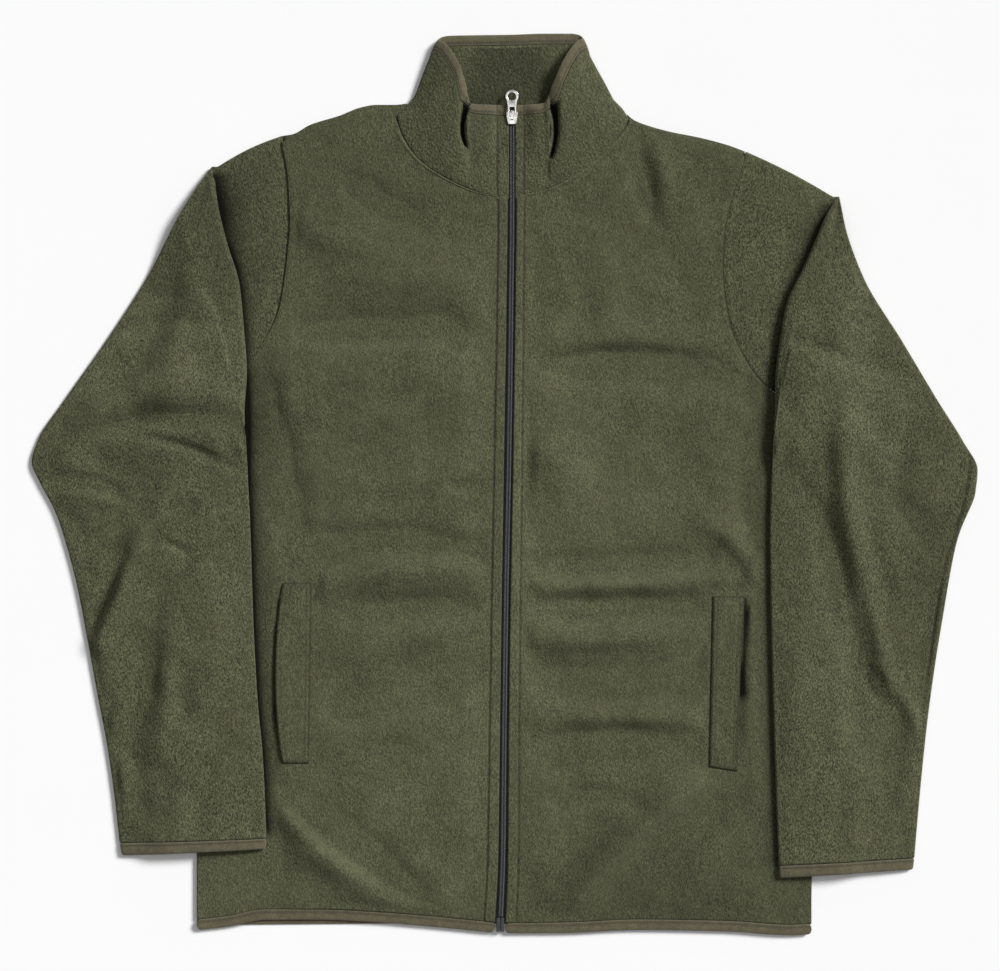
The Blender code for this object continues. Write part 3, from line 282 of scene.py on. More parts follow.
# Where a front lies low: by the sleeve's edge, along the zip, at the neck and along the hem
SLEEVE_CLEAR = 4.0
HEAD_LOW_Y = 75.0
HEAD_LOW_X = 235.0
EDGE_RAMP = 34.0
STRIP_HALF = 30.0
STRIP_RAMP = 30.0
CROWN_START = 12.0
CROWN_RAMP = 40.0
NECK_LOW_Y = 225.0
NECK_HALF = 150.0
NECK_RAMP = 60.0
HEM_LOW_Y = -398.0
HEM_RAMP = 26.0
# The level ground that a pocket welt lies on
POCKET_MARGIN_IN = 46.0
POCKET_RAMP_IN = 24.0
POCKET_MARGIN_END = 62.0
POCKET_RAMP_END = 34.0
POCKET_RAMP_OUT = 17.0

# Trim
BINDING = 9.5
HEM_BINDING_THICK = 2.6
CUFF_BINDING_WALL = 2.4
COLLAR_BINDING_THICK = 2.6
WELT_THICK = 1.6
HEM_PUCKERS = 7.1
KNIT_PITCH = 1.1
WEAVE_PITCH = 0.6

# Zip
TAPE_THICK = 0.7
COIL_LOW = FRONT_LOW + TAPE_THICK + GAP
COIL_HEIGHT = 2.2
ZIP_BOTTOM = -390.3
ZIP_TOP = 322.6
BOX_SIZE = (7.0, 12.6, 3.3)
SLIDER_SIZE = (10.0, 11.6, 1.2)
SLIDER_Y = 328.0
SLIDER_LOW = 6.3
CORE_SIZE = (4.0, 9.0)
HINGE_Y = 329.4
HINGE_Z = 8.7
TAB_THICK = 1.2
TAB_RING_RADIUS = 5.9
TAB_HOLE_RADIUS = 3.6
TAB_RING_CENTRE = 17.6
TAB_WAIST_HALF = 3.9
TAB_SLOT_HALF = 2.3
TAB_SLOT_END = 8.1
BAR_HALF = 0.6
ARCH_HALF_WIDTH = 1.3
ARCH_BACK = 3.9
ARCH_FRONT = 5.2
ARCH_CLEAR = 1.1
ARCH_THICK = 0.9

# Sleeves
SLEEVE_LOFT = 3.0
FOLD_RADIUS = 2.3
WALL_HALF = CLOTH + 0.5 * GAP
FOLD_OPENS_BY = 0.16
LEAST_DEPTH = 1.5
COLUMNS = np.array([0.0, 0.03, 0.06, 0.09, 0.12, 0.16, 0.3, 0.46, 0.62, 0.78, 0.92, 1.0])
ARC_STEPS = 5

Point = namedtuple("Point", "x y")
Row = namedtuple("Row", "inner_x inner_y outer_x outer_y bow")
Across = namedtuple("Across", "outer_x outer_y inner_x inner_y")
Station = namedtuple("Station", "seam_x seam_y seam_z top_x top_y top_z")
Fold = namedtuple("Fold", "x0 y0 x1 y1 height width")
Level = namedtuple("Level", "y x")
Waist = namedtuple("Waist", "height share")
Crease = namedtuple("Crease", "x0 y0 x1 y1 x2 y2 rise left right")

# Middle of the zip from hem to collar
ZIP_LINE = table_of(
    Level, (-404, -4.6), (-330, -1.8), (-240, -0.9), (-105, 0.9), (30, 3.6), (165, 5.4), (255, 6.3),
    (345, 6.3),
)

# Each front in rows from hem to shoulder: zip or neck end, then side, armhole or shoulder end
LEFT_FRONT = table_of(
    Row, (-9.2, -394.6, SIDE_LEFT, -392, 0), (-6.2, -340, SIDE_LEFT, -340, 0),
    (-4.7, -240, SIDE_LEFT, -240, 0), (-2.9, -105, -276.5, -105, 0), (-0.9, 20, -275.5, 10, 0),
    (0.2, 90, -274.5, 61.2, 0), (1, 130, -243, 92.7, 0), (1.4, 165, -218.7, 124.2, 0),
    (1.9, 200, -202.5, 155.7, 0), (2.3, 232, -195.3, 200.7, 0), (2.5, 255, -192.6, 236.7, 0),
    (-22.5, 260.5, -193.6, 262, 1), (-49.5, 271.8, -195.3, 281.7, 2), (-76.8, 289.7, -197.5, 294, 3),
    (-91, 308.2, -199, 301, 5), (-98.6, 327.5, -199.8, 306.3, 8),
)
RIGHT_FRONT = table_of(
    Row, (0.2, -394.8, SIDE_RIGHT, -395.4, 0), (2.2, -340, SIDE_RIGHT, -340, 0),
    (2.9, -240, SIDE_RIGHT, -240, 0), (4.7, -105, 276, -105, 0), (7, 20, 279, 10, 0),
    (7.9, 90, 281.7, 61.2, 0), (8.6, 130, 242.1, 80.5, 0), (9, 165, 216, 110.7, 0),
    (9.5, 200, 200.5, 148, 0), (9.9, 232, 195.3, 191.7, 0), (10.1, 255, 197.1, 227.7, 0),
    (36, 263, 201.5, 250, 0), (63.4, 276.4, 207, 268, 0), (91.2, 298.8, 211.5, 281, 0),
    (103, 311.5, 213.9, 288.5, 0), (112, 324.3, 215.6, 294, 1),
)
FRONTS = {"left": LEFT_FRONT, "right": RIGHT_FRONT}
POCKETS = {
    "left": table_of(Row, (-173.7, -89.5, -199, -89.5, 5.5), (-176, -252, -199.5, -252, 5.5)),
    "right": table_of(Row, (186.3, -101.7, 215.5, -101.7, 3), (183, -255, 208.5, -259, 3)),
}

# The row of each front that ends at the underarm; the armhole runs from there to the shoulder
UNDERARM_ROW = 5
SHOULDER_TIPS = {"left": Point(-199.8, 312.3), "right": Point(215.8, 298.2)}

# Where the hanging sleeve turns back over its own head, from shoulder to underarm
SLEEVE_FOLDS = {
    "left": table_of(
        Point, (-264.5, 284.5), (-262, 266), (-258.6, 244), (-252.5, 219), (-243.8, 194), (-239.4, 173),
        (-236.2, 137.7), (-233.1, 92.7), (-232.2, 52.2),
    ),
    "right": table_of(
        Point, (300, 257.5), (288.5, 237), (276.5, 208), (262.5, 178.5), (253, 155.7), (248, 124.2),
        (244, 92.7), (240.3, 47.7),
    ),
}
FOLD_DEPTH = {"left": 48.0, "right": 50.0}
HEAD_BOW = {"left": 2.5, "right": 1.8}
# The hanging sleeves, outer edge against inner edge, from the fold to the cuff
ARMS = {
    "left": table_of(
        Across, (-291, 243, -232, 38), (-323.1, 182.7, -231.5, 24), (-358, 128.7, -231, 8),
        (-396, 74.7, -230, -12), (-419.4, 40, -229, -30), (-425.7, 19, -228.5, -45), (-418.5, 1, -228, -58),
        (-404, -27, -227.4, -80), (-386.1, -87.3, -226, -122), (-369, -177.3, -222.5, -190),
        (-354.7, -255, -217, -252), (-346.5, -323.6, -214.2, -319.2),
    ),
    "right": table_of(
        Across, (304.2, 232, 240, 36), (323.1, 182.7, 239.5, 22), (356.4, 128.7, 239, 6),
        (388.8, 74.7, 238.3, -12), (411.3, 38.7, 237.8, -28), (425, 12, 237.6, -46), (423, -9, 237.6, -60),
        (406.8, -51.3, 238, -88), (393.3, -123.3, 239, -140), (381, -205, 241, -214),
        (372.6, -285.3, 243.6, -290), (368.1, -337.2, 245.7, -343.5),
    ),
}
CUFF_ENDS = {
    "left": Across(-344.4, -334.8, -215.1, -328.6),
    "right": Across(366.9, -347.4, 246.4, -354.4),
}

# The collar from the zip round to the middle of the back, seam edge against top edge
COLLAR_LEFT = table_of(
    Station, (3.6, 255.9, 4.4, 3.6, 339.5, 4.7), (-19.5, 260.6, 4.6, -22.5, 339.9, 4.8),
    (-29, 264, 4.5, -31.5, 341.2, 5.2), (-37, 267.5, 4.8, -35.2, 357, 11.5),
    (-52, 275, 5.4, -40.8, 375, 15), (-74, 289.2, 5.6, -48.6, 388, 13),
    (-88.5, 307.6, 5.4, -55, 395.8, 9.5), (-96.4, 329.5, 3.2, -59.6, 398.2, 5.8),
    (-94.2, 331.6, 1.4, -57.2, 400.6, 2.6), (-88, 329.8, 1.05, -51.5, 402.2, 1.6),
    (-58.5, 323.1, 1, -26, 402.8, 1.5), (6.3, 318.6, 1, 5.4, 403.2, 1.5),
)
COLLAR_RIGHT = table_of(
    Station, (9, 255.9, 4.4, 9, 339.5, 4.7), (29.5, 261.6, 4.6, 28, 340.2, 4.8),
    (36.5, 264.4, 4.5, 35.2, 341.6, 5.2), (43, 267.4, 4.8, 43, 358.5, 11.5),
    (57, 273.6, 5.3, 50.6, 376, 14.5), (79.5, 289.6, 5.6, 58, 388.5, 12.5), (98.5, 308, 5.4, 65, 397, 9),
    (110.6, 326.8, 3.2, 69.4, 400, 5.8), (108.2, 329.4, 1.4, 66.6, 402.8, 2.6),
    (102, 328.8, 1.05, 60, 404.2, 1.6), (70, 323.1, 1, 35, 404.2, 1.5), (6.3, 318.6, 1, 5.4, 403.2, 1.5),
)
# How far the collar is drawn in towards its middle above the neck seam, where it folds back
COLLAR_MIDDLE = 6.0
COLLAR_WAIST = {
    "left": table_of(
        Waist, (0, 0), (0.1, 0.04), (0.2, 0.062), (0.28, 0.069), (0.6, 0.036), (0.9, 0), (1, 0),
    ),
    "right": table_of(
        Waist, (0, 0), (0.12, 0.01), (0.22, 0.046), (0.45, 0.041), (0.75, 0.05), (0.9, 0.015), (1, 0),
    ),
}
COLLAR_SPLIT_LEAST = 0.7
COLLAR_CORNER = (342.0, 375.0)
COLLAR_HEIGHT = 85.0
COLLAR_SWELL = 2.0

# Shoulders and neck of the back, from left to right
BACK_SHOULDER_LEFT = table_of(
    Point, (-199.8, 312.3), (-190.8, 313.8), (-175.5, 322.2), (-148.5, 330.6), (-130.5, 337.7),
    (-116, 340.2), (-98, 340.2), (-87, 341.8),
)
NECK_CORNER_LEFT = table_of(
    Point, (-87, 341.8), (-90.9, 337.1), (-94.8, 333.6), (-98.6, 330.2), (-99, 327.2),
)
BACK_NECK = table_of(Point, (-90, 326.8), (-58.5, 321.1), (6.3, 316.8), (70, 321.1), (101, 325.2))
NECK_CORNER_RIGHT = table_of(Point, (112.6, 324), (112.5, 327.6), (110.2, 331.2))
BACK_SHOULDER_RIGHT = table_of(
    Point, (110.2, 331.2), (116.1, 326.4), (130.5, 320.9), (148.5, 316), (175.5, 310.6), (202.5, 303.3),
    (215.8, 298.2),
)

# Lower edges of the hem, from left to right
HEM_BACK = table_of(
    Point, (-277, -399.4), (-230, -397.2), (-100, -396.4), (140, -397.4), (275.5, -399.4),
)
HEM_FRONTS = {
    "left": table_of(
        Point, (-277, -402), (-248, -398.6), (-216, -392.8), (-166, -392.6), (-112.5, -395.1),
        (-67.5, -398.7), (-9, -404.4),
    ),
    "right": table_of(
        Point, (0.2, -404.8), (50, -404.6), (120, -401.8), (200, -403.2), (256, -406.6), (275.5, -405.6),
    ),
}

# The largest soft folds of each front and each sleeve: middle line, height and half width
BODY_FOLDS = {
    "left": table_of(
        Fold, (-200, 66, -20, 78, 2.4, 24), (-215, 0, -60, 6, 1.8, 22), (-160, -52, -20, -62, 2.2, 26),
        (-190, -330, -70, -372, 2.4, 20), (-160, 236, -60, 190, 2, 26),
    ),
    "right": table_of(
        Fold, (30, 84, 190, 64, 2.2, 26), (50, -30, 200, -44, 2, 26), (40, -150, 150, -160, 1.6, 24),
        (70, -372, 180, -322, 2.2, 20), (70, 190, 160, 240, 1.8, 24),
    ),
}
ARM_FOLDS = {
    "left": table_of(
        Fold, (-387, 39, -283, 75, 3, 17), (-342, 39, -252, 21, 2.4, 15), (-369, -155, -337, -78, 3, 12),
        (-337, -78, -319, -51, 2, 14), (-300, -230, -262, -120, 1.6, 20),
    ),
    "right": table_of(
        Fold, (310, 48, 337, -70, 3, 16), (337, -70, 356, -141, 2.4, 16), (356, -141, 360, -196, 2, 14),
        (270, 110, 345, 60, 2.2, 18), (270, -120, 300, -250, 1.6, 20),
    ),
}

# Narrow seams that show as a groove along a sleeve
SLEEVE_SEAMS = {
    "left": (),
    "right": table_of(
        Crease, (419, 28, 413, -15, 395, -75, -0.9, 1.7, 1.7),
        (397, -66, 386.5, -125, 376.5, -205, -0.9, 1.7, 1.7),
    ),
}

# The finer creases of each front and each sleeve, read as a bent line through three points: a ridge where
# rise is positive and a trough where it is negative, with a half width on each side of its run
FRONT_CREASES = {
    "left": table_of(
        Crease, (-171, 172, -94, 178, -27, 174, 1.2, 22, 20), (-180, 135, -104, 134, -32, 140, -1.7, 14, 9),
        (-184, 100, -94, 109, -22, 100, 1, 16, 26), (-194, -70, -112, -54, -14, -65, -2.2, 13, 9),
        (-184, -96, -94, -80, -15, -83, 1.3, 9, 20), (-158, -114, -94, -116, -22, -108, -1, 14, 12),
        (-158, -155, -86, -141, -24, -125, 1, 14, 14), (-162, -212, -94, -195, -24, -170, -1.7, 16, 10),
        (-158, -238, -94, -219, -22, -195, 1, 12, 22), (-194, -285, -144, -327, -73, -375, -2.6, 16, 7),
        (-202, -292, -158, -336, -99, -380, 1.2, 6, 14), (-229, 102, -212, 25, -190, -73, -2.8, 16, 7),
        (-54, -4, -36, -3, -16, -6, -0.7, 6, 6), (-148, 282, -112, 250, -58, 232, -0.8, 14, 14),
        (-184, 241, -140, 210, -40, 199, 0.8, 16, 18),
    ),
    "right": table_of(
        Crease, (30, 105, 112, 109, 195, 102, -1.6, 9, 20), (32, 124, 112, 129, 189, 122, 0.8, 16, 8),
        (32, 48, 51, 16, 76, -15, 1.5, 34, 34), (22, -74, 86, -76, 180, -69, -1.9, 10, 9),
        (25, -93, 104, -91, 197, -87, 1.5, 8, 9), (22, -113, 86, -114, 176, -108, -1.3, 10, 10),
        (22, -139, 86, -141, 176, -132, 1.3, 12, 10), (22, -170, 94, -181, 181, -159, -1.4, 16, 16),
        (36, -215, 104, -210, 177, -215, 1.3, 12, 10), (24, -251, 72, -235, 166, -233, -1.3, 14, 18),
        (58, -375, 122, -310, 183, -267, 2.2, 16, 8), (87, -382, 141, -330, 192, -288, -1.5, 8, 18),
        (111, 315, 116, 286, 129, 238, -1.8, 8, 5), (135, 309, 141, 277, 147, 241, 0.8, 10, 8),
        (171, -33, 210, -56, 235, -98, 1, 10, 10), (50, -296, 86, -281, 135, -299, -0.9, 8, 8),
        (222, 70, 227, 3, 220, -69, -1, 10, 14), (86, 219, 91, 165, 96, 120, 0.7, 16, 16),
    ),
}
ARM_CREASES = {
    "left": table_of(
        Crease, (-345, 137, -315, 141, -289, 152, -2.2, 4, 5), (-338, 149, -312, 153, -292, 161, 0.8, 7, 4),
        (-284, 142, -303, 114, -341, 66, 3, 22, 14), (-400, 22, -360, 66, -305, 89, 3.4, 12, 14),
        (-320, 86, -279, 83, -238, 76, 1.6, 20, 14), (-378, 37, -320, 57, -238, 54, -3.2, 10, 9),
        (-338, 44, -288, 33, -237, 11, -1.6, 4, 5), (-413, -5, -379, 0, -343, -14, -3.2, 7, 5),
        (-400, -16, -372, -13, -341, -23, 1.1, 6, 9), (-326, -58, -306, -41, -283, -19, -4.6, 5, 6),
        (-343, -57, -320, -40, -299, -23, 1.3, 8, 6), (-306, -52, -291, -59, -283, -63, -2.2, 3, 3),
        (-284, -63, -266, -58, -247, -51, -1, 3, 4), (-315, -94, -293, -80, -280, -62, -2.4, 4, 4),
        (-372, -154, -354, -113, -333, -61, 3.6, 4, 16), (-370, -134, -355, -98, -344, -72, -1.4, 10, 4),
        (-338, -69, -330, -51, -314, -37, 1.6, 10, 10), (-313, -104, -321, -177, -338, -238, -1.9, 12, 12),
        (-289, -161, -290, -195, -294, -233, -1, 9, 9), (-301, -105, -304, -177, -310, -249, 0.9, 10, 10),
        (-357, -229, -349, -210, -338, -194, 1.2, 6, 6), (-283, -256, -292, -287, -296, -323, 0.9, 9, 9),
        (-269, -274, -277, -299, -285, -321, -0.7, 7, 7), (-263, -69, -264, -141, -255, -213, 0.8, 16, 14),
        (-346, -285, -343, -258, -348, -238, 0.9, 7, 7), (-288, 219, -274, 165, -262, 120, 1, 14, 12),
        (-302, 187, -284, 199, -269, 194, -0.9, 9, 9),
    ),
    "right": table_of(
        Crease, (309, 161, 321, 162, 335, 160, -1.8, 3, 3), (310, 155, 325, 156, 338, 153, 1, 3, 4),
        (248, 131, 306, 112, 368, 94, -1.5, 8, 5), (252, 118, 292, 98, 343, 80, 1.1, 10, 22),
        (378, 84, 363, 48, 345, -16, -2, 10, 7), (342, -15, 366, -37, 387, -68, -2.8, 12, 5),
        (303, 70, 305, -15, 327, -111, 3, 12, 10), (327, -105, 338, -150, 349, -188, 2.4, 9, 9),
        (271, 0, 298, -83, 318, -211, -2.2, 10, 14), (321, -32, 337, -78, 342, -107, -1.1, 8, 7),
        (325, -161, 328, -186, 345, -197, -1.2, 4, 4), (330, -158, 340, -170, 346, -186, 0.9, 4, 4),
        (351, -183, 364, -203, 374, -231, 1.7, 6, 7), (353, -206, 346, -249, 342, -288, -1.7, 9, 10),
        (383, -83, 380, -141, 370, -195, -0.9, 8, 8), (392, 4, 401, -22, 392, -56, -1.3, 8, 8),
        (266, -141, 262, -213, 271, -285, 0.9, 18, 16), (297, -258, 300, -294, 298, -330, -0.7, 10, 10),
        (284, 30, 276, -33, 271, -69, 0.9, 12, 12), (321, 219, 310, 165, 294, 129, 0.9, 14, 12),
    ),
}


def smooth(t):
    """Soft step from 0 to 1 as t goes from 0 to 1."""
    t = np.clip(t, 0.0, 1.0)
    return t * t * (3.0 - 2.0 * t)


def ramp(value, start, run):
    """Soft step from 0 where the value is at the start to 1 a run further on."""
    return smooth((value - start) / run)


def slopes_of(knots, values):
    """Slopes at each knot that keep a curve through the values from swinging past them."""
    step = np.diff(knots)[:, None]
    rise = np.diff(values, axis=0) / step
    slopes = np.empty_like(values)
    slopes[0] = rise[0]
    slopes[-1] = rise[-1]
    first, second = rise[:-1], rise[1:]
    same = first * second > 0.0
    total = np.where(same, first + second, 1.0)
    slopes[1:-1] = np.where(same, 2.0 * first * second / total, 0.0)
    return slopes


def through(knots, values, where):
    """Values of a smooth curve through (knots, values), one row for each entry of where."""
    knots = np.asarray(knots, float)
    values = np.asarray(values, float).reshape(len(knots), -1)
    where = np.clip(np.asarray(where, float), knots[0], knots[-1])
    slopes = slopes_of(knots, values)
    cell = np.clip(np.searchsorted(knots, where, side="right") - 1, 0, len(knots) - 2)
    step = (knots[cell + 1] - knots[cell])[:, None]
    t = (where - knots[cell])[:, None] / step
    start = (1 + 2 * t) * (1 - t) ** 2 * values[cell] + t * (1 - t) ** 2 * step * slopes[cell]
    end = t * t * (3 - 2 * t) * values[cell + 1] - t * t * (1 - t) * step * slopes[cell + 1]
    return start + end


def run_lengths(points):
    """Distance along a line of points, from 0 at its start."""
    steps = np.linalg.norm(np.diff(points, axis=0), axis=1)
    return np.concatenate([[0.0], np.cumsum(steps)])


def lengths_along(points):
    """Distance along a line of points as seen from above, from 0 at its start."""
    return run_lengths(np.asarray(points, float)[:, :2])


def resample(points, count):
    """That many points, evenly spaced along the smooth curve through the given ones."""
    along = lengths_along(points)
    return through(along, points, np.linspace(0.0, along[-1], count))


def beside(points, distance):
    """A line of points moved sideways, to the left of its run for a positive distance."""
    points = np.asarray(points, float)
    run = np.gradient(points, axis=0)
    run /= np.linalg.norm(run, axis=1)[:, None]
    return points + distance * np.stack([-run[:, 1], run[:, 0]], axis=1)


def along_line(points, shares):
    """Points at the given shares of the length of a line of straight runs."""
    along = lengths_along(points)
    points = np.asarray(points, float)
    return np.stack([np.interp(shares * along[-1], along, points[:, k]) for k in (0, 1)], axis=1)


def armhole(side):
    """Outer ends of a front's rows, from the shoulder tip down to the underarm."""
    ends = [Point(row.outer_x, row.outer_y) for row in FRONTS[side][UNDERARM_ROW:-1]]
    return [SHOULDER_TIPS[side], *reversed(ends)]


def zip_x(y):
    """X of the middle of the zip at each y."""
    table = np.array(ZIP_LINE, float)
    return through(table[:, 0], table[:, 1], np.ravel(y))[:, 0].reshape(np.shape(y))


def fold_heights(x, y, folds):
    """Sum of soft ridges: a bell across each middle line, fading at its two ends."""
    total = np.zeros(np.shape(x))
    for fold in folds:
        run_x, run_y = fold.x1 - fold.x0, fold.y1 - fold.y0
        length = math.hypot(run_x, run_y)
        along = ((x - fold.x0) * run_x + (y - fold.y0) * run_y) / length
        aside = ((y - fold.y0) * run_x - (x - fold.x0) * run_y) / length
        past = np.maximum(np.maximum(-along, along - length), 0.0)
        total += fold.height * np.exp(-(aside * aside + past * past) / fold.width ** 2)
    return total


def finer(grid, rows, columns):
    """Smooth surface through a coarse grid: a cubic along each column, then one along each row."""
    coarse_rows, coarse_columns = grid.shape[:2]
    along = through(np.arange(coarse_rows), grid.reshape(coarse_rows, -1), rows)
    across = np.swapaxes(along.reshape(len(rows), coarse_columns, -1), 0, 1)
    fine = through(COLUMNS, across.reshape(coarse_columns, -1), columns)
    fine = np.swapaxes(fine.reshape(len(columns), len(rows), -1), 0, 1)
    return fine.reshape(len(rows), len(columns), *grid.shape[2:])


def cut_runs(lengths, step, least=1):
    """Positions from 0 up, one unit for each stretch, that cut it into runs no longer than step."""
    where = [np.zeros(1)]
    for k, length in enumerate(lengths):
        count = max(least, math.ceil(length / step))
        where.append(k + (np.arange(count) + 1.0) / count)
    return np.concatenate(where)


def crease_rise(x, y, creases):
    """Sum of creases: a bell across each bent line, of its own width on either side, fading at its ends."""
    flat = np.stack([np.ravel(x), np.ravel(y)], axis=1)
    total = np.zeros(len(flat))
    t = np.linspace(0.0, 1.0, CREASE_RUNS + 1)[:, None]
    for crease in creases:
        start, end = np.array(crease[0:2], float), np.array(crease[4:6], float)
        bend = 2.0 * np.array(crease[2:4], float) - 0.5 * (start + end)
        line = (1.0 - t) ** 2 * start + 2.0 * t * (1.0 - t) * bend + t * t * end
        reach = 2.6 * max(crease.left, crease.right)
        inside = (flat > line.min(axis=0) - reach) & (flat < line.max(axis=0) + reach)
        near = np.flatnonzero(inside.all(axis=1))
        run = np.diff(line, axis=0)
        from_start = flat[near][:, None] - line[:-1]
        share = np.clip((from_start * run).sum(-1) / (run * run).sum(-1), 0.0, 1.0)
        away = from_start - share[..., None] * run
        squared = (away * away).sum(-1)
        nearest = squared.argmin(axis=1)
        each = np.arange(len(near))
        offset, heading = away[each, nearest], run[nearest]
        on_left = heading[:, 0] * offset[:, 1] > heading[:, 1] * offset[:, 0]
        width = np.where(on_left, crease.left, crease.right)
        place = (nearest + share[each, nearest]) / CREASE_RUNS
        fade = np.sin(np.pi * (0.05 + 0.9 * place)) ** 0.8
        total[near] += crease.rise * fade * np.exp(-squared[each, nearest] / width ** 2)
    return total.reshape(np.shape(x))


def unevenness(x, y, seed):
    """Slight swell of cloth at rest: waves of falling length that run every way, from a seeded draw."""
    draw = np.random.default_rng(seed)
    total = np.zeros(np.shape(x))
    for length in WAVE_LENGTHS:
        for angle, phase in draw.uniform(0.0, 2.0 * np.pi, (3, 2)):
            turn = 2.0 * np.pi * (x * np.cos(angle) + y * np.sin(angle)) / length
            total += WAVE_RISE * length / WAVE_LENGTHS[0] * np.sin(turn + phase)
    return total


def painted_patch_shade(piece, x, y):
    """Broad soft painted shade on a piece: the sum of its patches, each a bell in both directions."""
    total = np.zeros(np.shape(x))
    for patch in PAINTED_SHADE_PATCHES[piece]:
        away = ((x - patch.x) / patch.wide) ** 2 + ((y - patch.y) / patch.tall) ** 2
        total += patch.shade * np.exp(-away)
    return total


def armhole_meeting(side, y):
    """How far from the armhole's line its edges stop rounding off: further where the seam is pressed flat."""
    low, high = ARMHOLE_MEETS[side]
    return low + (high - low) * ramp(y, PRESSED_Y, PRESSED_RUN)


def within_slit(side, table, x, y, sharp, end):
    """Share of a narrow opening that runs up a panel between two edges and closes towards its low end."""
    low, inner, outer = np.array(table, float).T
    past_inner = OUTWARD[side] * (x - np.interp(y, low, inner))
    before_outer = OUTWARD[side] * (np.interp(y, low, outer) - x)
    across = smooth((past_inner + 0.6 * sharp) / sharp) * smooth((before_outer + 0.6 * sharp) / sharp)
    return across * smooth((y - low[0]) / end) * smooth((low[-1] + 1.0 - y) / 2.0)


def rounding(distance):
    """Share of the cloth's half thickness left near an edge: a quarter ellipse over its last stretch."""
    inward = np.clip(distance / EDGE_ROUND, 0.0, 1.0)
    return np.maximum(np.sqrt(1.0 - (1.0 - inward) ** 2), EDGE_LEAST)


def from_ends(grid, axis):
    """Distances in plan from the first and from the last line of a grid, along the given axis."""
    steps = np.linalg.norm(np.diff(grid[..., :2], axis=axis), axis=-1)
    start = np.zeros_like(np.take(steps, [0], axis=axis))
    along = np.concatenate([start, np.cumsum(steps, axis=axis)], axis=axis)
    return along, np.take(along, [-1], axis=axis) - along


def nearest_edge(grid):
    """Distance in plan from the nearest of a grid's four edges."""
    return np.minimum(np.minimum(*from_ends(grid, 0)), np.minimum(*from_ends(grid, 1)))


def make_mesh(name, points, faces, seam=None):
    """Smooth-shaded closed mesh from points in millimetres; seam is the painted shade of each point, kept as
    the seam attribute.
    """
    mesh = bpy.data.meshes.new(name)
    mesh.from_pydata((np.asarray(points) * MM).tolist(), [], [list(face) for face in faces])
    # The seam attribute holds painted shade, and painted light where it is negative
    if seam is not None:
        held = mesh.attributes.new("seam", "FLOAT", "POINT")
        held.data.foreach_set("value", np.ravel(seam).astype(np.float32))
    shape = bmesh.new()
    shape.from_mesh(mesh)
    bmesh.ops.recalc_face_normals(shape, faces=shape.faces)
    if shape.calc_volume(signed=True) < 0.0:
        bmesh.ops.reverse_faces(shape, faces=shape.faces)
    shape.to_mesh(mesh)
    shape.free()
    mesh.shade_smooth()
    return mesh


def grid_faces(index):
    """Four-cornered faces between neighbouring lines of an index grid."""
    quads = np.stack([index[:-1, :-1], index[:-1, 1:], index[1:, 1:], index[1:, :-1]], axis=-1)
    return quads.reshape(-1, 4).tolist()


def wall_between(name, lower, upper, lower_painted_shade, upper_painted_shade):
    """Closed wall between two sheets of the same rows and columns, each with its own painted shade."""
    index = np.arange(2 * lower[..., 0].size).reshape(2, *lower.shape[:2])
    rim = [
        np.concatenate([sheet[0, :-1], sheet[:-1, -1], sheet[-1, :0:-1], sheet[:0:-1, 0]]) for sheet in index
    ]
    sides = np.stack([rim[0], np.roll(rim[0], -1), np.roll(rim[1], -1), rim[1]], axis=-1)
    faces = grid_faces(index[0]) + grid_faces(index[1]) + sides.tolist()
    points = np.concatenate([lower.reshape(-1, 3), upper.reshape(-1, 3)])
    return make_mesh(name, points, faces, np.concatenate([np.ravel(lower_painted_shade), np.ravel(upper_painted_shade)]))


def walled_tube(name, outer, inner, seam):
    """Closed wall between an outer and an inner shell of rings, open at both ends."""
    shells = np.concatenate([outer, inner[::-1]])
    index = np.arange(shells[..., 0].size).reshape(shells.shape[:2])
    index = np.vstack([index, index[:1]])
    index = np.hstack([index, index[:, :1]])
    return make_mesh(name, shells.reshape(-1, 3), grid_faces(index), np.concatenate([seam, seam[::-1]]))


def carried(name, path, profile, seam=None):
    """Closed bar: a profile of (sideways, up) carried along a path, level and square to its run in plan."""
    along = np.gradient(path[:, :2], axis=0)
    aside = np.stack([-along[:, 1], along[:, 0]], axis=1) / np.linalg.norm(along, axis=1)[:, None]
    rings = np.empty((len(path), profile.shape[-2], 3))
    rings[..., :2] = path[:, None, :2] + profile[..., :1] * aside[:, None]
    rings[..., 2] = path[:, None, 2] + profile[..., 1]
    index = np.arange(rings[..., 0].size).reshape(rings.shape[:2])
    faces = grid_faces(np.hstack([index, index[:, :1]])) + [index[0].tolist(), index[-1].tolist()]
    return make_mesh(name, rings.reshape(-1, 3), faces, seam)


def oval(width, height, count, power=0.62):
    """Points round a flat-sided oval: a circle whose sine and cosine are raised to a power."""
    turn = np.linspace(0.0, 2.0 * np.pi, count, endpoint=False)
    across = 0.5 * width * np.sign(np.cos(turn)) * np.abs(np.cos(turn)) ** power
    up = 0.5 * height * np.sign(np.sin(turn)) * np.abs(np.sin(turn)) ** power
    return np.stack([across, up], axis=1)


def copies(name, shape, faces, centres, headings):
    """One mesh of many copies of a small shape, each turned in plan to its heading and tipped to its rise."""
    ahead = headings / np.linalg.norm(headings, axis=1)[:, None]
    side = np.stack([-ahead[:, 1], ahead[:, 0], np.zeros(len(ahead))], axis=1)
    side /= np.linalg.norm(side, axis=1)[:, None]
    up = np.cross(ahead, side)
    frames = np.stack([ahead, side, up], axis=1)
    points = centres[:, None] + shape @ frames
    index = np.arange(len(centres))[:, None, None] * len(shape) + np.asarray(faces)[None]
    return make_mesh(name, points.reshape(-1, 3), index.reshape(-1, 4).tolist())


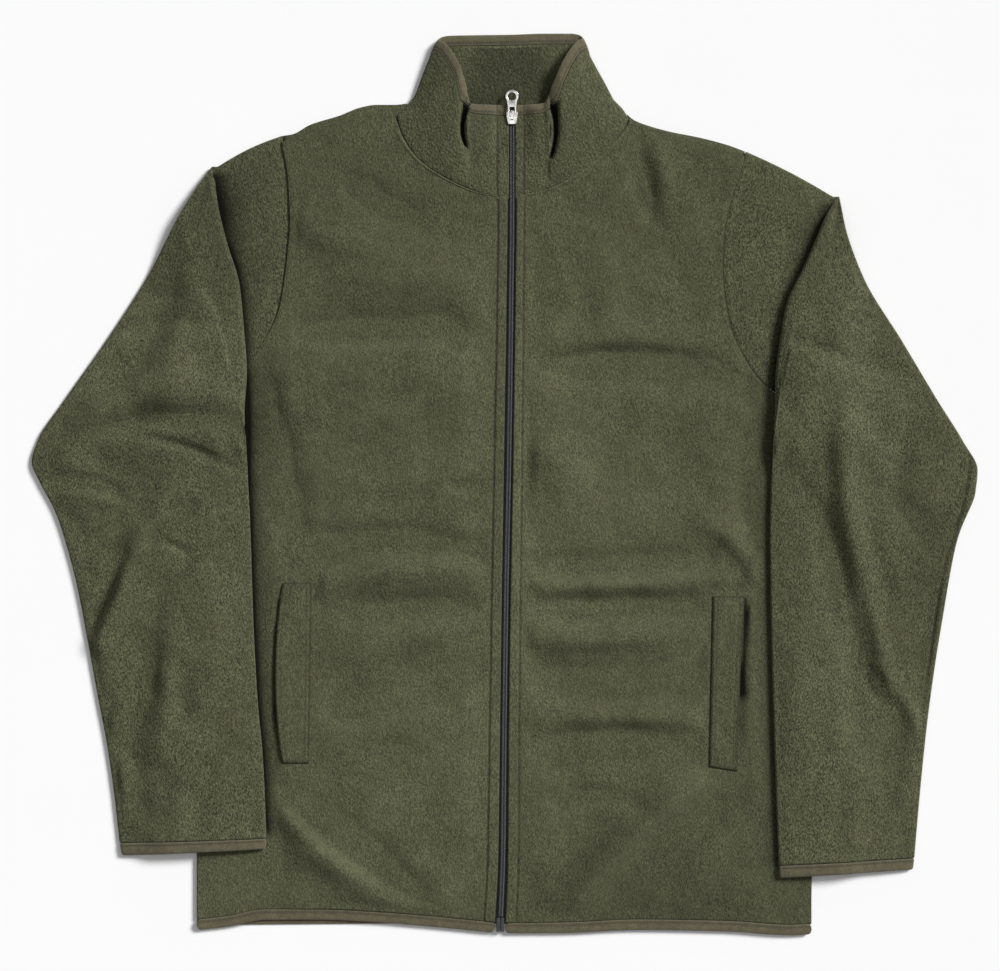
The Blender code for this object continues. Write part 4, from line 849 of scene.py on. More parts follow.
def grain(length, width, height):
    """Small closed lozenge that stands for one stitch: rings of a spindle between two narrow ends."""
    share = np.array([-0.5, -0.3, 0.3, 0.5])
    fat = np.array([0.35, 1.0, 1.0, 0.35])
    turn = np.linspace(0.0, 2.0 * np.pi, 6, endpoint=False)
    rings = np.empty((len(share), len(turn), 3))
    rings[..., 0] = share[:, None] * length
    rings[..., 1] = 0.5 * width * fat[:, None] * np.cos(turn)
    rings[..., 2] = 0.5 * height * fat[:, None] * np.sin(turn)
    index = np.arange(rings[..., 0].size).reshape(len(share), len(turn))
    faces = grid_faces(np.hstack([index, index[:, :1]]))
    for ring in (index[0], index[-1]):
        faces += [ring[[0, 1, 2, 3]].tolist(), ring[[0, 3, 4, 5]].tolist()]
    return rings.reshape(-1, 3), faces


def stitch_mesh(name, lines, length, pitch):
    """Row of stitches along each line, end to end with a small gap, laid just into the cloth."""
    shape, faces = grain(length, THREAD_WIDE, THREAD_TALL)
    centres, headings = [], []
    for line in lines:
        line = np.asarray(line, float)
        along = run_lengths(line)
        middle = np.arange(0.5 * pitch, along[-1] - 0.5 * length, pitch)
        ends = [
            np.stack([np.interp(middle + half, along, line[:, k]) for k in range(3)], axis=1)
            for half in (-0.5 * length, 0.5 * length)
        ]
        centres.append(0.5 * (ends[0] + ends[1]) - (0.0, 0.0, THREAD_SINKS))
        headings.append(ends[1] - ends[0])
    return copies(name, shape, faces, np.concatenate(centres), np.concatenate(headings))


def fold_table(side):
    """The visible fold of a sleeve from its low end up, one row of x and y for each point."""
    return np.array(SLEEVE_FOLDS[side], float)[::-1]


def sleeve_edge(side, y):
    """Plan x of the sleeve's inner edge over the body at each y."""
    fold = [(p.y, p.x) for p in SLEEVE_FOLDS[side]]
    arm = [(a.inner_y, a.inner_x) for a in ARMS[side]]
    cuff = CUFF_ENDS[side]
    table = np.array(sorted(fold + arm + [(cuff.inner_y, cuff.inner_x)]))
    return np.interp(y, table[:, 0], table[:, 1])


def body_height(x, y, side):
    """Rise of a front above lying flat: none under the sleeve, a strip by the zip, loft and folds between."""
    out = OUTWARD[side]
    free = out * sleeve_edge(side, y) - SLEEVE_CLEAR
    limit = np.where(y > HEAD_LOW_Y, np.minimum(free, HEAD_LOW_X), free)
    from_sleeve = smooth((limit - out * x) / EDGE_RAMP)
    from_zip = np.abs(x - zip_x(y))
    at_neck = ramp(y, NECK_LOW_Y, NECK_RAMP) * smooth((NECK_HALF - np.abs(x)) / NECK_RAMP)
    strip = np.maximum(1.0 - ramp(from_zip, STRIP_HALF, STRIP_RAMP), at_neck)
    crown = from_sleeve * ramp(from_zip, CROWN_START, CROWN_RAMP) * (1.0 - 0.8 * at_neck)
    crown *= ramp(y, HEM_LOW_Y, HEM_RAMP)
    rise = crown * (BODY_LOFT + fold_heights(x, y, BODY_FOLDS[side])) + ZIP_STRIP_RISE * strip
    top, bottom = POCKETS[side]
    beside_it = smooth((out * (x - top.inner_x) + POCKET_MARGIN_IN) / POCKET_RAMP_IN)
    above_end = smooth((y - bottom.inner_y + POCKET_MARGIN_END) / POCKET_RAMP_END)
    below_end = smooth((top.inner_y + POCKET_MARGIN_END - y) / POCKET_RAMP_END)
    flat = beside_it * above_end * below_end
    pocket = POCKET_RISE * smooth((limit - out * x) / POCKET_RAMP_OUT)
    return rise * (1.0 - flat) + pocket * flat


def hem_line(side, x):
    """Y of a front's lower edge at each x."""
    table = np.array(HEM_FRONTS[side], float)
    return through(table[:, 0], table[:, 1], x)[:, 0]


def two_faces(low, distance, high):
    """Lower and upper face of a sheet from low up to the height high, rounded together towards every edge."""
    middle = 0.5 * (low[..., 2] + high)
    half = 0.5 * (high - low[..., 2]) * rounding(distance)
    lower, upper = low.copy(), low.copy()
    lower[..., 2] = middle - half
    upper[..., 2] = middle + half
    return lower, upper


def seam_swell(distance):
    """Swell of the cloth beside the armhole's seam, 1 at its highest."""
    return np.exp(-((distance - SWELL_AT) / SWELL_WIDTH) ** 2)


def groove(distance, middle, half_width):
    """A soft dent of depth 1 at a given distance from an edge, with steep sides."""
    return np.exp(-np.abs((distance - middle) / half_width) ** 2.5)


def armhole_curve(side):
    """The armhole as a fine line, from the shoulder's tip along the front's outer edge to the underarm."""
    rows = np.array(FRONTS[side], float)
    where = np.linspace(len(rows) - 1.0, UNDERARM_ROW, 160)
    edge = through(np.arange(len(rows)), rows, where)[:, 2:4]
    return np.concatenate([[SHOULDER_TIPS[side]], edge])


def back_edge_lines():
    """Outline of the back panel as four lines: both sides with their armholes, the hem, the top."""
    hem = np.array(HEM_BACK, float) + (0.0, BINDING + SEAM)
    arms = {side: armhole_curve(side) for side in OUTWARD}
    top = np.concatenate([
        resample(BACK_SHOULDER_LEFT, 60)[:-1], NECK_CORNER_LEFT, resample(BACK_NECK, 120),
        NECK_CORNER_RIGHT[:-1], resample(BACK_SHOULDER_RIGHT, 60),
    ])
    left = np.concatenate([hem[:1], arms["left"][::-1]])
    right = np.concatenate([hem[-1:], arms["right"][::-1]])
    return left, right, hem, top


def back_surface(step):
    """Grid spanned between the panel's four edges: each side line against the other, hem against top."""
    left, right, hem, top = back_edge_lines()
    rows = math.ceil(lengths_along(left)[-1] / step)
    across = math.ceil(lengths_along(top)[-1] / (0.8 * step))
    u, v = np.linspace(0.0, 1.0, across + 1), np.linspace(0.0, 1.0, rows + 1)
    left, right = along_line(left, v), along_line(right, v)
    hem, top = along_line(hem, u), along_line(top, u)
    u, v = u[None, :, None], v[:, None, None]
    corners = (1 - u) * (1 - v) * left[0] + u * (1 - v) * right[0]
    corners = corners + (1 - u) * v * left[-1] + u * v * right[-1]
    plan = (1 - u) * left[:, None] + u * right[:, None] + (1 - v) * hem[None] + v * top[None] - corners
    return plan


def back_mesh(name, cloth):
    """The back: flat under its whole area, smooth on top, a rounded edge all round."""
    plan = back_surface(cloth.back_step)
    low = np.concatenate([plan, np.zeros((*plan.shape[:2], 1))], axis=-1)
    distance = nearest_edge(plan)
    high = low[..., 2] + CLOTH
    share = rounding(distance)
    upper = low.copy()
    upper[..., 2] = np.maximum(high * (0.5 + 0.5 * share), 0.2)
    # Painted shade in the groove by the rounded edge
    dark = SEAM_SHADE * groove(distance, 0.0, 1.2)
    return wall_between(name, low, upper, dark, dark)


def front_rows(table, step):
    """Rows of a front from hem to shoulder, close together at the hem and at the shoulder's edge."""
    rows = np.array(table, float)
    lengths = np.linalg.norm(np.diff(0.5 * (rows[:, 0:2] + rows[:, 2:4]), axis=0), axis=1)
    where = cut_runs(lengths, step, 3)
    near_hem = np.array(HEM_CLOSE) / lengths[0]
    near_top = len(rows) - 1 - np.array(HEM_CLOSE) / lengths[-1]
    where = np.unique(np.concatenate([where, near_hem, near_top]))
    return where, through(np.arange(len(rows)), rows, where)


def front_surface(side, step):
    """Plan of a front: straight rows between its two edges, bowed at the shoulder, down to the hem's line."""
    where, rows = front_rows(FRONTS[side], step)
    inner, outer, bow = rows[:, 0:2], rows[:, 2:4], rows[:, 4]
    run = (outer - inner) / np.linalg.norm(outer - inner, axis=1)[:, None]
    at_neck = ramp(where, NECK_FIRST_ROW, ROW_BLEND)[:, None]
    outer = outer + EDGE_MEETS * ramp(where, UNDERARM_ROW, ROW_BLEND)[:, None] * run
    inner = inner - NECK_MEETS * at_neck * run
    width = np.linalg.norm(outer - inner, axis=1)[:, None]
    first, last = np.array(ZIP_EDGE_CLOSE), np.array(OUTER_EDGE_CLOSE)
    count = math.ceil((SIDE_RIGHT - first[-1] - last[0]) / step)
    between = np.linspace(0.0, 1.0, count + 1)[1:-1]
    share = np.concatenate([
        first / width,
        (first[-1] + (width - first[-1] - last[0]) * between) / width,
        (width - last) / width,
    ], axis=1)
    plan = inner[:, None] + share[..., None] * (outer - inner)[:, None]
    plan[..., 1] += bow[:, None] * np.sin(np.pi * share)
    hem = hem_line(side, plan[0, :, 0]) + BINDING + SEAM - plan[0, :, 1]
    plan[..., 1] += np.maximum(1.0 - where, 0.0)[:, None] * hem
    return where, plan


def beside_zip(side, y):
    """How far from the front's edge the stitches beside the zip run at each y."""
    hem, neck = STITCH_BESIDE_ZIP[side]
    return hem + (neck - hem) * ramp(y, STITCH_LOW_Y, STITCH_RUN)


def strip_height(side, zip_distance, y):
    """Topstitching beside the zip: a groove, with the strip next to the zip standing a little higher."""
    middle = beside_zip(side, y)
    dent = groove(zip_distance, middle, 1.0)
    strip = 1.0 - smooth((zip_distance - middle + 1.5) / 2.5)
    return dent, strip


def front_mesh(name, side, cloth):
    """A front panel: the laid-out height, its creases and slight swell, seams rolled down at every edge."""
    where, plan = front_surface(side, cloth.front_step)
    x, y = plan[..., 0], plan[..., 1]
    out = OUTWARD[side]
    zip_distance, side_distance = from_ends(plan, 1)
    distance = nearest_edge(plan)

    free = out * sleeve_edge(side, y) - out * x
    limit = np.where(y > HEAD_LOW_Y, np.minimum(free, HEAD_LOW_X - out * x), free)
    clear = ramp(limit, *CREASES_FROM_SLEEVE) * ramp(distance, *CREASES_FROM_EDGE)
    top, bottom = POCKETS[side]
    by_pocket = smooth((out * (x - top.inner_x) + 14.0) / 12.0)
    by_pocket *= smooth((y - bottom.inner_y + 16.0) / 12.0) * smooth((top.inner_y + 16.0 - y) / 12.0)
    clear *= 1.0 - by_pocket
    strip_clear = ramp(zip_distance, *CREASES_FROM_ZIP)
    neck_row = ramp(where, NECK_FIRST_ROW, 0.35)[:, None]
    shoulder = ramp(where, SHOULDER_ROW, 0.5)[:, None]

    rise = body_height(x, y, side)
    rise += clear * strip_clear * cloth.front_creases * crease_rise(x, y, FRONT_CREASES[side])
    swell = cloth.swell * unevenness(x, y, FRONT_SEED[side])
    rise += clear * ramp(zip_distance, *SWELL_FROM_ZIP) * swell
    rise = np.maximum(rise, 0.0)
    low = np.concatenate([plan, FRONT_LOW + rise[..., None]], axis=-1)

    dent, strip = strip_height(side, zip_distance, y)
    below_neck = 1.0 - neck_row
    high = low[..., 2] + CLOTH
    high += below_neck * (0.45 * strip - 0.6 * dent)
    at_neck = neck_row * (1.0 - shoulder)
    ridge = smooth(zip_distance / 1.5) * (1.0 - ramp(zip_distance, SWELL_AT, SWELL_WIDTH))
    high += cloth.neck_ridge * ridge * at_neck
    arm_row = ramp(where, UNDERARM_ROW, 0.4)[:, None]
    high += cloth.armhole_swell * seam_swell(side_distance) * arm_row
    opening = within_slit(side, HAND_OPENINGS[side], x, y, 1.8, 16.0)
    high -= 0.9 * opening
    high = np.maximum(high, low[..., 2] + 0.7)

    # Painted shade in the seams and the stitch groove, black in the hand opening, a painted shadow beside the
    # sleeve's edge and broad painted patches; painted light along the neck seam
    at_armhole = arm_row * (side_distance < 6.0)
    seam_shade = SEAM_SHADE + (ARMHOLE_SHADE[side] - SEAM_SHADE) * at_armhole
    seam = seam_shade * groove(np.where(at_neck > 0.5, distance + zip_distance, distance), 0.0, GROOVE_HALF)
    seam = np.maximum(np.maximum(seam, 0.75 * below_neck * dent), OPENING_SHADE[side] * opening)
    seam = seam - SEAM_LIGHT * at_neck * groove(zip_distance, 1.6, 1.3)
    beside = SLEEVE_BESIDE[side]
    away = np.maximum(free, 0.0)
    shadow = beside.shade * np.exp(-(away / beside.width) ** 2)
    shadow += beside.broad_shade * np.exp(-(away / beside.broad_width) ** 2)
    shadow *= 1.0 - ramp(y, SHADOW_TOP_Y, SHADOW_TOP_RUN)
    shadow *= smooth((y - beside.lowest) / SHADOW_LOW_RUN)
    seam = seam + shadow + painted_patch_shade(f"front_{side}", x, y)
    distance = distance + 0.55 * at_neck + armhole_meeting(side, y) * at_armhole
    return wall_between(name, *two_faces(low, distance, high), seam, seam)


def welt_mesh(name, side):
    """An upright welt: a flat band whose outer edge bows, topstitched round, open towards the sleeve."""
    top, bottom = POCKETS[side]
    rows = math.ceil((top.inner_y - bottom.inner_y) / WELT_STEP)
    t = np.linspace(0.0, 1.0, rows + 1)
    across = np.linspace(0.0, 1.0, WELT_COLUMNS)
    edge = np.array([bottom, top], float)
    edge = edge[0] + t[:, None] * (edge[1] - edge[0])
    bulge = OUTWARD[side] * WELT_BOW[side] * edge[:, 4] * np.sin(np.pi * t) ** 0.7
    grid = np.empty((len(t), len(across), 3))
    grid[..., 0] = edge[:, :1] + across * (edge[:, 2:3] + bulge[:, None] - edge[:, :1])
    grid[..., 1] = edge[:, 1:2] + across * (edge[:, 3:4] - edge[:, 1:2])
    low = FRONT_TOP + POCKET_RISE + GAP
    start, end = from_ends(grid, 1)
    first, last = from_ends(grid, 0)
    distance = np.minimum(np.minimum(start, end), np.minimum(first, last))
    open_edge = ramp(t, WELT_END, 0.3) * smooth((1.0 - WELT_END - t) / 0.3)
    lift = WELT_LIFT[side] * open_edge[:, None] * smooth(1.0 - end / WELT_LIFT_RUN)
    grid[..., 2] = low + lift
    sewn = np.minimum(start, np.minimum(first, last))
    high = grid[..., 2] + WELT_THICK * (WELT_THIN + (1.0 - WELT_THIN) * smooth(sewn / WELT_FULL_AT))
    dent = groove(distance, WELT_STITCH, GROOVE_HALF)
    lower, upper = two_faces(grid, 1.2 * distance, high - 0.3 * dent)
    # Painted shade in the stitch groove and along the welt's edges; the whole welt a little lighter
    dark = 0.3 * dent - WELT_LIGHT + WELT_EDGE_SHADE * np.exp(-(distance / 1.6) ** 2)
    return wall_between(name, lower, upper, dark, dark), welt_stitches(upper, start, end, first, last)


def welt_stitches(surface, start, end, first, last):
    """The stitched line inside a welt's edges, read off its upper face."""
    rows, across = surface.shape[:2]
    lines = start[rows // 2], end[rows // 2], first[:, across // 2], last[:, across // 2]
    inner, outer, low, high = [int(np.argmin(np.abs(line - WELT_STITCH))) for line in lines]
    return [
        surface[low:high + 1, inner], surface[high, inner:outer + 1], surface[low, inner:outer + 1],
    ]


def zip_stitches(side):
    """The line of stitches beside the zip on a front, lying in its groove."""
    table = np.array(FRONTS[side][:NECK_FIRST_ROW + 1], float)
    y = np.linspace(table[0, 1] + 3.0, table[-1, 1] - 4.0, 340)
    edge = through(table[:, 1], table[:, 0], y)[:, 0]
    x = edge + OUTWARD[side] * beside_zip(side, y)
    z = FRONT_TOP + body_height(x, y, side) - ZIP_STITCH_DEPTH
    return np.stack([x, y, z], axis=1)


def binding_profile(width, low, high):
    """A stretch binding's section: a flat oval."""
    shape = oval(width, high - low, 28)
    shape[:, 1] += 0.5 * (low + high)
    return shape


def puckered(path, profile, low, pitch, depth, seed):
    """One profile for each point of a path: its top rises and falls a little, unevenly, along the run."""
    along = lengths_along(path)
    draw = np.random.default_rng(seed)
    rise = np.zeros(len(along))
    for share in (1.0, 0.63, 0.41):
        rise += share * np.sin(2.0 * np.pi * along / (pitch * (0.5 + share)) + draw.uniform(0.0, 6.283))
    tall = np.clip((profile[:, 1] - low) / (profile[:, 1].max() - low), 0.0, 1.0)
    shapes = np.repeat(profile[None], len(along), axis=0)
    shapes[..., 1] += depth * rise[:, None] * tall
    from_end = np.minimum(along, along[-1] - along) / END_ROUND
    share = np.sqrt(1.0 - (1.0 - np.clip(from_end, 0.0, 1.0)) ** 2)
    shapes[..., 0] *= np.maximum(share, 0.15)[:, None]
    return shapes


def hem_paths(step):
    """Middle line of each hem binding, from left to right."""
    paths = {"back": np.array(HEM_BACK, float) + (0.0, 0.5 * BINDING)}
    for side, (low_row, *_) in FRONTS.items():
        x = np.linspace(*sorted((low_row.inner_x, low_row.outer_x)), 60)
        paths[side] = np.stack([x, hem_line(side, x) + 0.5 * BINDING], axis=1)
    fine = {}
    for part, line in paths.items():
        along = lengths_along(line)
        near = np.array(END_CLOSE)
        where = np.linspace(near[-1], along[-1] - near[-1], math.ceil(along[-1] / step))
        fine[part] = through(along, line, np.concatenate([near[:-1], where, along[-1] - near[-2::-1]]))
    return fine


def fold_angle(v):
    """How far the sleeve has turned back at v: little at the shoulder edge, all the way further down."""
    return 0.25 + (math.pi - 0.25) * smooth(v / FOLD_OPENS_BY)


def fold_radius(v):
    rise = 0.5 + (4.0 * FOLD_RADIUS - 0.5) * smooth(v / FOLD_OPENS_BY)
    return np.maximum(FOLD_RADIUS, rise / (2.0 * (1.0 - np.cos(fold_angle(v)))))


def fold_depth(side, v):
    """How deep the tuck runs: a sliver at the shoulder edge, its full depth at the underarm."""
    share = (v - FOLD_OPENS_BY) / (1.0 - FOLD_OPENS_BY)
    return np.maximum(FOLD_DEPTH[side] * np.clip(share, 0.0, 1.0), LEAST_DEPTH)


def fold_rise(side, v):
    turn = fold_angle(v)
    return 2.0 * fold_radius(v) * (1.0 - np.cos(turn)) + fold_depth(side, v) * np.sin(turn)


def arm_level(side, x, y):
    """Height of the hanging sleeve's middle: up over the fold and the body, down to the floor outside."""
    out = OUTWARD[side]
    table = fold_table(side)
    top, bottom = table[-1, 1], table[0, 1]
    v = np.clip((top - y) / (top - bottom), 0.0, 1.0)
    edge = out * np.interp(y, table[:, 1], table[:, 0])
    beyond = out * x - (edge + fold_depth(side, v) + 3.0 * FOLD_RADIUS + 14.0)
    on_fold = (1.0 - smooth(beyond / 32.0)) * (1.0 - smooth((bottom - 14.0 - y) / 36.0))
    body_side = abs(SIDE_LEFT if side == "left" else SIDE_RIGHT)
    on_body = (1.0 - ramp(out * x - body_side, 26.0, 30.0)) * smooth((140.0 - y) / 50.0)
    over_body = 2.0 * LAYER * on_body
    return WALL_HALF + np.maximum(fold_rise(side, v) * on_fold, over_body)


def arm_loft(side, x, y, share):
    """Extra rise of the upper layer: a round cushion across the sleeve, and its folds."""
    cushion = np.sin(np.pi * np.clip(share, 0.0, 1.0)) ** 0.7
    return cushion * (SLEEVE_LOFT + fold_heights(x, y, ARM_FOLDS[side]))


def arm_rings(side):
    """Middle of the hanging sleeve, a ring for each section, and the rise of its upper layer."""
    rows = np.array(ARMS[side], float)
    knots = np.arange(len(rows), dtype=float)
    rows = through(knots, rows, np.concatenate([knots[:9], [8.6, 9.2, 9.7, 10.3, 11.0]]))
    outer, inner = rows[:, :2], rows[:, 2:]
    width = np.linalg.norm(outer - inner, axis=1)
    share = WALL_HALF / width[:, None] + COLUMNS * (1.0 - 2.0 * WALL_HALF / width[:, None])
    plan = outer[:, None] + share[..., None] * (inner - outer)[:, None]
    fold = fold_line(side)
    straight = fold[0] + COLUMNS[:, None] * (fold[-1] - fold[0])
    fade = smooth(1.0 - (np.arange(len(rows)) + 1.0) / 5.0)
    plan += fade[:, None, None] * (fold - straight)
    x, y = plan[..., 0], plan[..., 1]
    middle = np.concatenate([plan, arm_level(side, x, y)[..., None]], axis=-1)
    loft = arm_loft(side, x, y, np.broadcast_to(COLUMNS, x.shape))
    return middle, loft


def fold_line(side):
    """The visible fold at each column, evenly spaced in y."""
    table = fold_table(side)
    y = table[-1, 1] + COLUMNS * (table[0, 1] - table[-1, 1])
    return np.stack([through(table[:, 1], table[:, 0], y)[:, 0], y], axis=1)


def head_rings(side):
    """Sleeve head from the armhole, under the fold and back out to its visible edge."""
    out = np.array([OUTWARD[side], 0.0])
    turn, radius = fold_angle(COLUMNS), fold_radius(COLUMNS)
    depth = fold_depth(side, COLUMNS)
    seam = along_line(beside(armhole(side), OUTWARD[side] * SEAM), COLUMNS)
    seam[0] += (0.0, -WALL_HALF)
    seam[-1] += (0.0, WALL_HALF)
    edge = fold_line(side)
    edge[0] += (-out[0] * WALL_HALF, -WALL_HALF)
    end = edge + out * (radius * np.sin(np.minimum(turn, 0.5 * math.pi)))[:, None]
    top = WALL_HALF + fold_rise(side, COLUMNS)

    def place(base, height, across, rise):
        plan = base + out * across[:, None]
        return np.concatenate([plan, (height + rise)[:, None]], axis=1)

    zero = np.zeros(len(COLUMNS))
    second, second_angle = [], []
    for k in range(ARC_STEPS + 1):
        angle = turn * (1.0 - k / ARC_STEPS)
        second.append(place(end, top, -radius * np.sin(angle), -radius * (1.0 - np.cos(angle))))
        second_angle.append(angle)
    hidden = second[0] + np.concatenate(
        [-out * (depth * np.cos(turn))[:, None], -(depth * np.sin(turn))[:, None]], axis=1)
    first, first_angle = [], []
    for k in range(ARC_STEPS + 1):
        angle = turn * (k / ARC_STEPS)
        across = -radius * (np.sin(turn) - np.sin(angle))
        rise = -radius * (np.cos(angle) - np.cos(turn))
        first.append(place(hidden[:, :2], hidden[:, 2], across, rise))
        first_angle.append(angle)
    start = first[0]
    head, head_angle = [], []
    for t in (0.0, 0.25, 0.5, 0.75):
        row = np.empty_like(start)
        row[:, :2] = seam + t * (start[:, :2] - seam)
        row[:, 1] += HEAD_BOW[side] * math.sin(math.pi * t) * (1.0 - smooth(COLUMNS / 0.3))
        row[:, 2] = WALL_HALF
        head.append(row)
        head_angle.append(zero)
    between = [0.5 * (first[-1] + second[0])]
    middle = np.array(head + first + between + second)
    angle = np.array(head_angle + first_angle + [turn] + second_angle)
    return middle, angle


def head_loft(side, middle, angle):
    """The sleeve head puffs up a little where nothing lies on it."""
    out = OUTWARD[side]
    x, y = middle[..., 0], middle[..., 1]
    table = fold_table(side)
    clear = out * np.interp(y, table[:, 1], table[:, 0]) - 6.0 - out * x
    seam = np.array(armhole(side), float)[::-1]
    past = out * x - out * np.interp(y, seam[:, 1], seam[:, 0])
    puff = smooth(clear / 18.0) * smooth(past / 14.0) * np.sin(np.pi * COLUMNS) ** 0.5
    return 2.0 * puff * (np.abs(angle) < 1e-9)


def upright(shape):
    """Normals that point straight up."""
    normal = np.zeros((*shape, 3))
    normal[..., 2] = 1.0
    return normal


def sleeve_surface(side, cloth):
    """Fine middle, normal and upper rise of a sleeve, from the armhole over the fold to the cuff's seam."""
    head, angle = head_rings(side)
    arm, arm_rise = arm_rings(side)
    head_normal = np.stack([-OUTWARD[side] * np.sin(angle), np.zeros_like(angle), np.cos(angle)], axis=-1)
    middle = np.concatenate([head, arm])
    normal = np.concatenate([head_normal, upright(arm.shape[:2])])
    arm_rise[0] *= 0.35
    arm_rise[1] *= 0.75
    loft = np.concatenate([head_loft(side, head, angle), arm_rise])
    spans = np.linalg.norm(np.diff(middle, axis=0), axis=-1).max(axis=1)
    rows = cut_runs(spans, cloth.sleeve_step, 2)
    near_cuff = len(head) + len(arm) - 1 - np.array(CUFF_CLOSE)
    rows = np.unique(np.concatenate([rows, np.array(SLEEVE_HEAD_CLOSE), near_cuff]))
    columns = sleeve_columns(cloth.sleeve_step)
    fine = finer(np.concatenate([middle, normal, loft[..., None]], axis=-1), rows, columns)
    middle, normal, loft = fine[..., 0:3], fine[..., 3:6], fine[..., 6]
    exact = along_line(beside(armhole_curve(side), OUTWARD[side] * SEAM), columns)
    within = smooth(columns / 0.04) * smooth((1.0 - columns) / 0.04)
    fade = 1.0 - smooth(from_ends(middle[..., :2], 0)[0] / 12.0)
    middle[..., :2] += (fade * within)[..., None] * (exact - middle[0, :, :2])
    normal = normal / np.linalg.norm(normal, axis=-1, keepdims=True)
    past_fold = rows - len(head)
    drawn = smooth(-past_fold[:, None] / DRAWN_ROWS) * smooth((DRAWN_BELOW_Y - middle[..., 1]) / DRAWN_RUN)
    middle[..., 0] += OUTWARD[side] * FOLD_DRAWN[side] * drawn
    return past_fold, columns, middle, normal, loft


def sleeve_columns(step):
    """Shares of the sleeve's width: 1 mm apart by the outer edge, where a seam runs, and wider beyond."""
    close = np.arange(0.0, 15.0) / SLEEVE_WIDTH
    wide = np.linspace(close[-1], 1.0 - 5.0 / SLEEVE_WIDTH, math.ceil(SLEEVE_WIDTH / step))
    end = 1.0 - np.array([3.4, 2.0, 0.9, 0.0]) / SLEEVE_WIDTH
    return np.concatenate([close, wide[1:], end])


def sleeve_relief(side, past_fold, middle, cloth):
    """Creases of the hanging sleeve's upper layer, none at its edges, and a slight swell everywhere."""
    x, y = middle[..., 0], middle[..., 1]
    outer, inner = from_ends(middle[..., :2], 1)
    inward = np.minimum(outer, inner)
    start = int(np.argmax(past_fold >= 0.0))
    beyond = np.zeros(x.shape)
    beyond[start:] = from_ends(middle[start:, :, :2], 0)[0]
    cuff = from_ends(middle[..., :2], 0)[1]
    fade = smooth(beyond / 7.0) * ramp(inward, *CREASES_FROM_SIDE) * ramp(cuff, *CREASES_FROM_CUFF)
    relief = cloth.sleeve_creases * fade * crease_rise(x, y, ARM_CREASES[side])
    relief += cloth.swell * fade * unevenness(x, y, SLEEVE_SEED[side])
    narrow = smooth(beyond / 7.0) * crease_rise(x, y, SLEEVE_SEAMS[side])
    return relief, narrow


def fold_shade(side, past_fold, middle):
    """Shadow on the sleeve's head beside the fold, as wide and as dark as the table says down the fold."""
    table = fold_table(side)
    x, y = middle[..., 0], middle[..., 1]
    down, width, shade = np.array(FOLD_HOLLOWS[side], float).T
    from_top = table[-1, 1] - y
    wide, deep = np.interp(from_top, down, width), np.interp(from_top, down, shade)
    inward = OUTWARD[side] * (np.interp(y, table[:, 1], table[:, 0]) - x)
    share = np.exp(-(np.maximum(inward, 0.0) / wide) ** 2) * ramp(from_top, 0.5, 8.0)
    return deep * share * (past_fold[:, None] < HOLLOW_ENDS)


def sleeve_mesh(name, side, cloth):
    """A flat sleeve tube: its head under the fold, the hanging arm laid over it, edges rolled round."""
    past_fold, columns, middle, normal, loft = sleeve_surface(side, cloth)
    relief, narrow = sleeve_relief(side, past_fold, middle, cloth)
    loft = np.maximum(loft + relief, 0.0)
    seam_end, cuff_end = from_ends(middle[..., :2], 0)
    share = np.minimum(rounding(seam_end + armhole_meeting(side, middle[..., 1])), rounding(cuff_end))
    swell = cloth.armhole_swell * seam_swell(seam_end)
    half_outer, half_inner = tube_halves(CLOTH, share)
    outer = tube_rings(middle, normal, half_outer, loft + (swell + narrow))
    inner = tube_rings(middle, normal, half_inner, loft)
    # Painted shade in the armhole, cuff and sleeve seams, a painted shadow beside the fold, and broad painted
    # patches
    dark = ARMHOLE_SHADE[side] * groove(seam_end, 0.0, GROOVE_HALF)
    dark = np.maximum(dark, 1.4 * SEAM_SHADE * groove(cuff_end, 0.0, 1.3))
    dark = np.maximum(dark, np.clip(-narrow / 0.9, 0.0, 1.0) * 0.8)
    dark = np.maximum(dark, fold_shade(side, past_fold, middle))
    dark = dark + painted_patch_shade(f"sleeve_{side}", middle[..., 0], middle[..., 1])
    inner_dark, outer_dark = [np.repeat(dark[:, [end]], EDGE_CUTS - 1, axis=1) for end in (-1, 0)]
    around = np.concatenate([dark, inner_dark, dark[:, ::-1], outer_dark], axis=1)
    return walled_tube(name, outer, inner, around)


def tube_halves(wall, share):
    """Half the thickness of a flat tube's outer and inner shell; they meet where share is 0."""
    return 0.5 * GAP + wall * (0.5 + 0.5 * share), 0.5 * GAP + wall * (0.5 - 0.5 * share)


def tube_rings(middle, normal, half, rise):
    """Rings round a flat tube, given half its thickness: upper layer, inner edge, lower layer, outer edge."""
    across = np.gradient(middle, axis=1)
    across -= normal * (across * normal).sum(-1, keepdims=True)
    across /= np.linalg.norm(across, axis=-1, keepdims=True)
    turns = np.linspace(0.0, math.pi, EDGE_CUTS + 1)[1:-1]
    upper = middle + normal * (half + rise)[..., None]
    lower = middle - normal * half[..., None]
    inner_edge, outer_edge = [
        np.stack([
            middle[:, k] + sign * half[:, [k]] * (math.cos(a) * normal[:, k] + math.sin(a) * across[:, k])
            for a in turns
        ], axis=1)
        for k, sign in ((-1, 1.0), (0, -1.0))
    ]
    return np.concatenate([upper, inner_edge, lower[:, ::-1], outer_edge], axis=1)


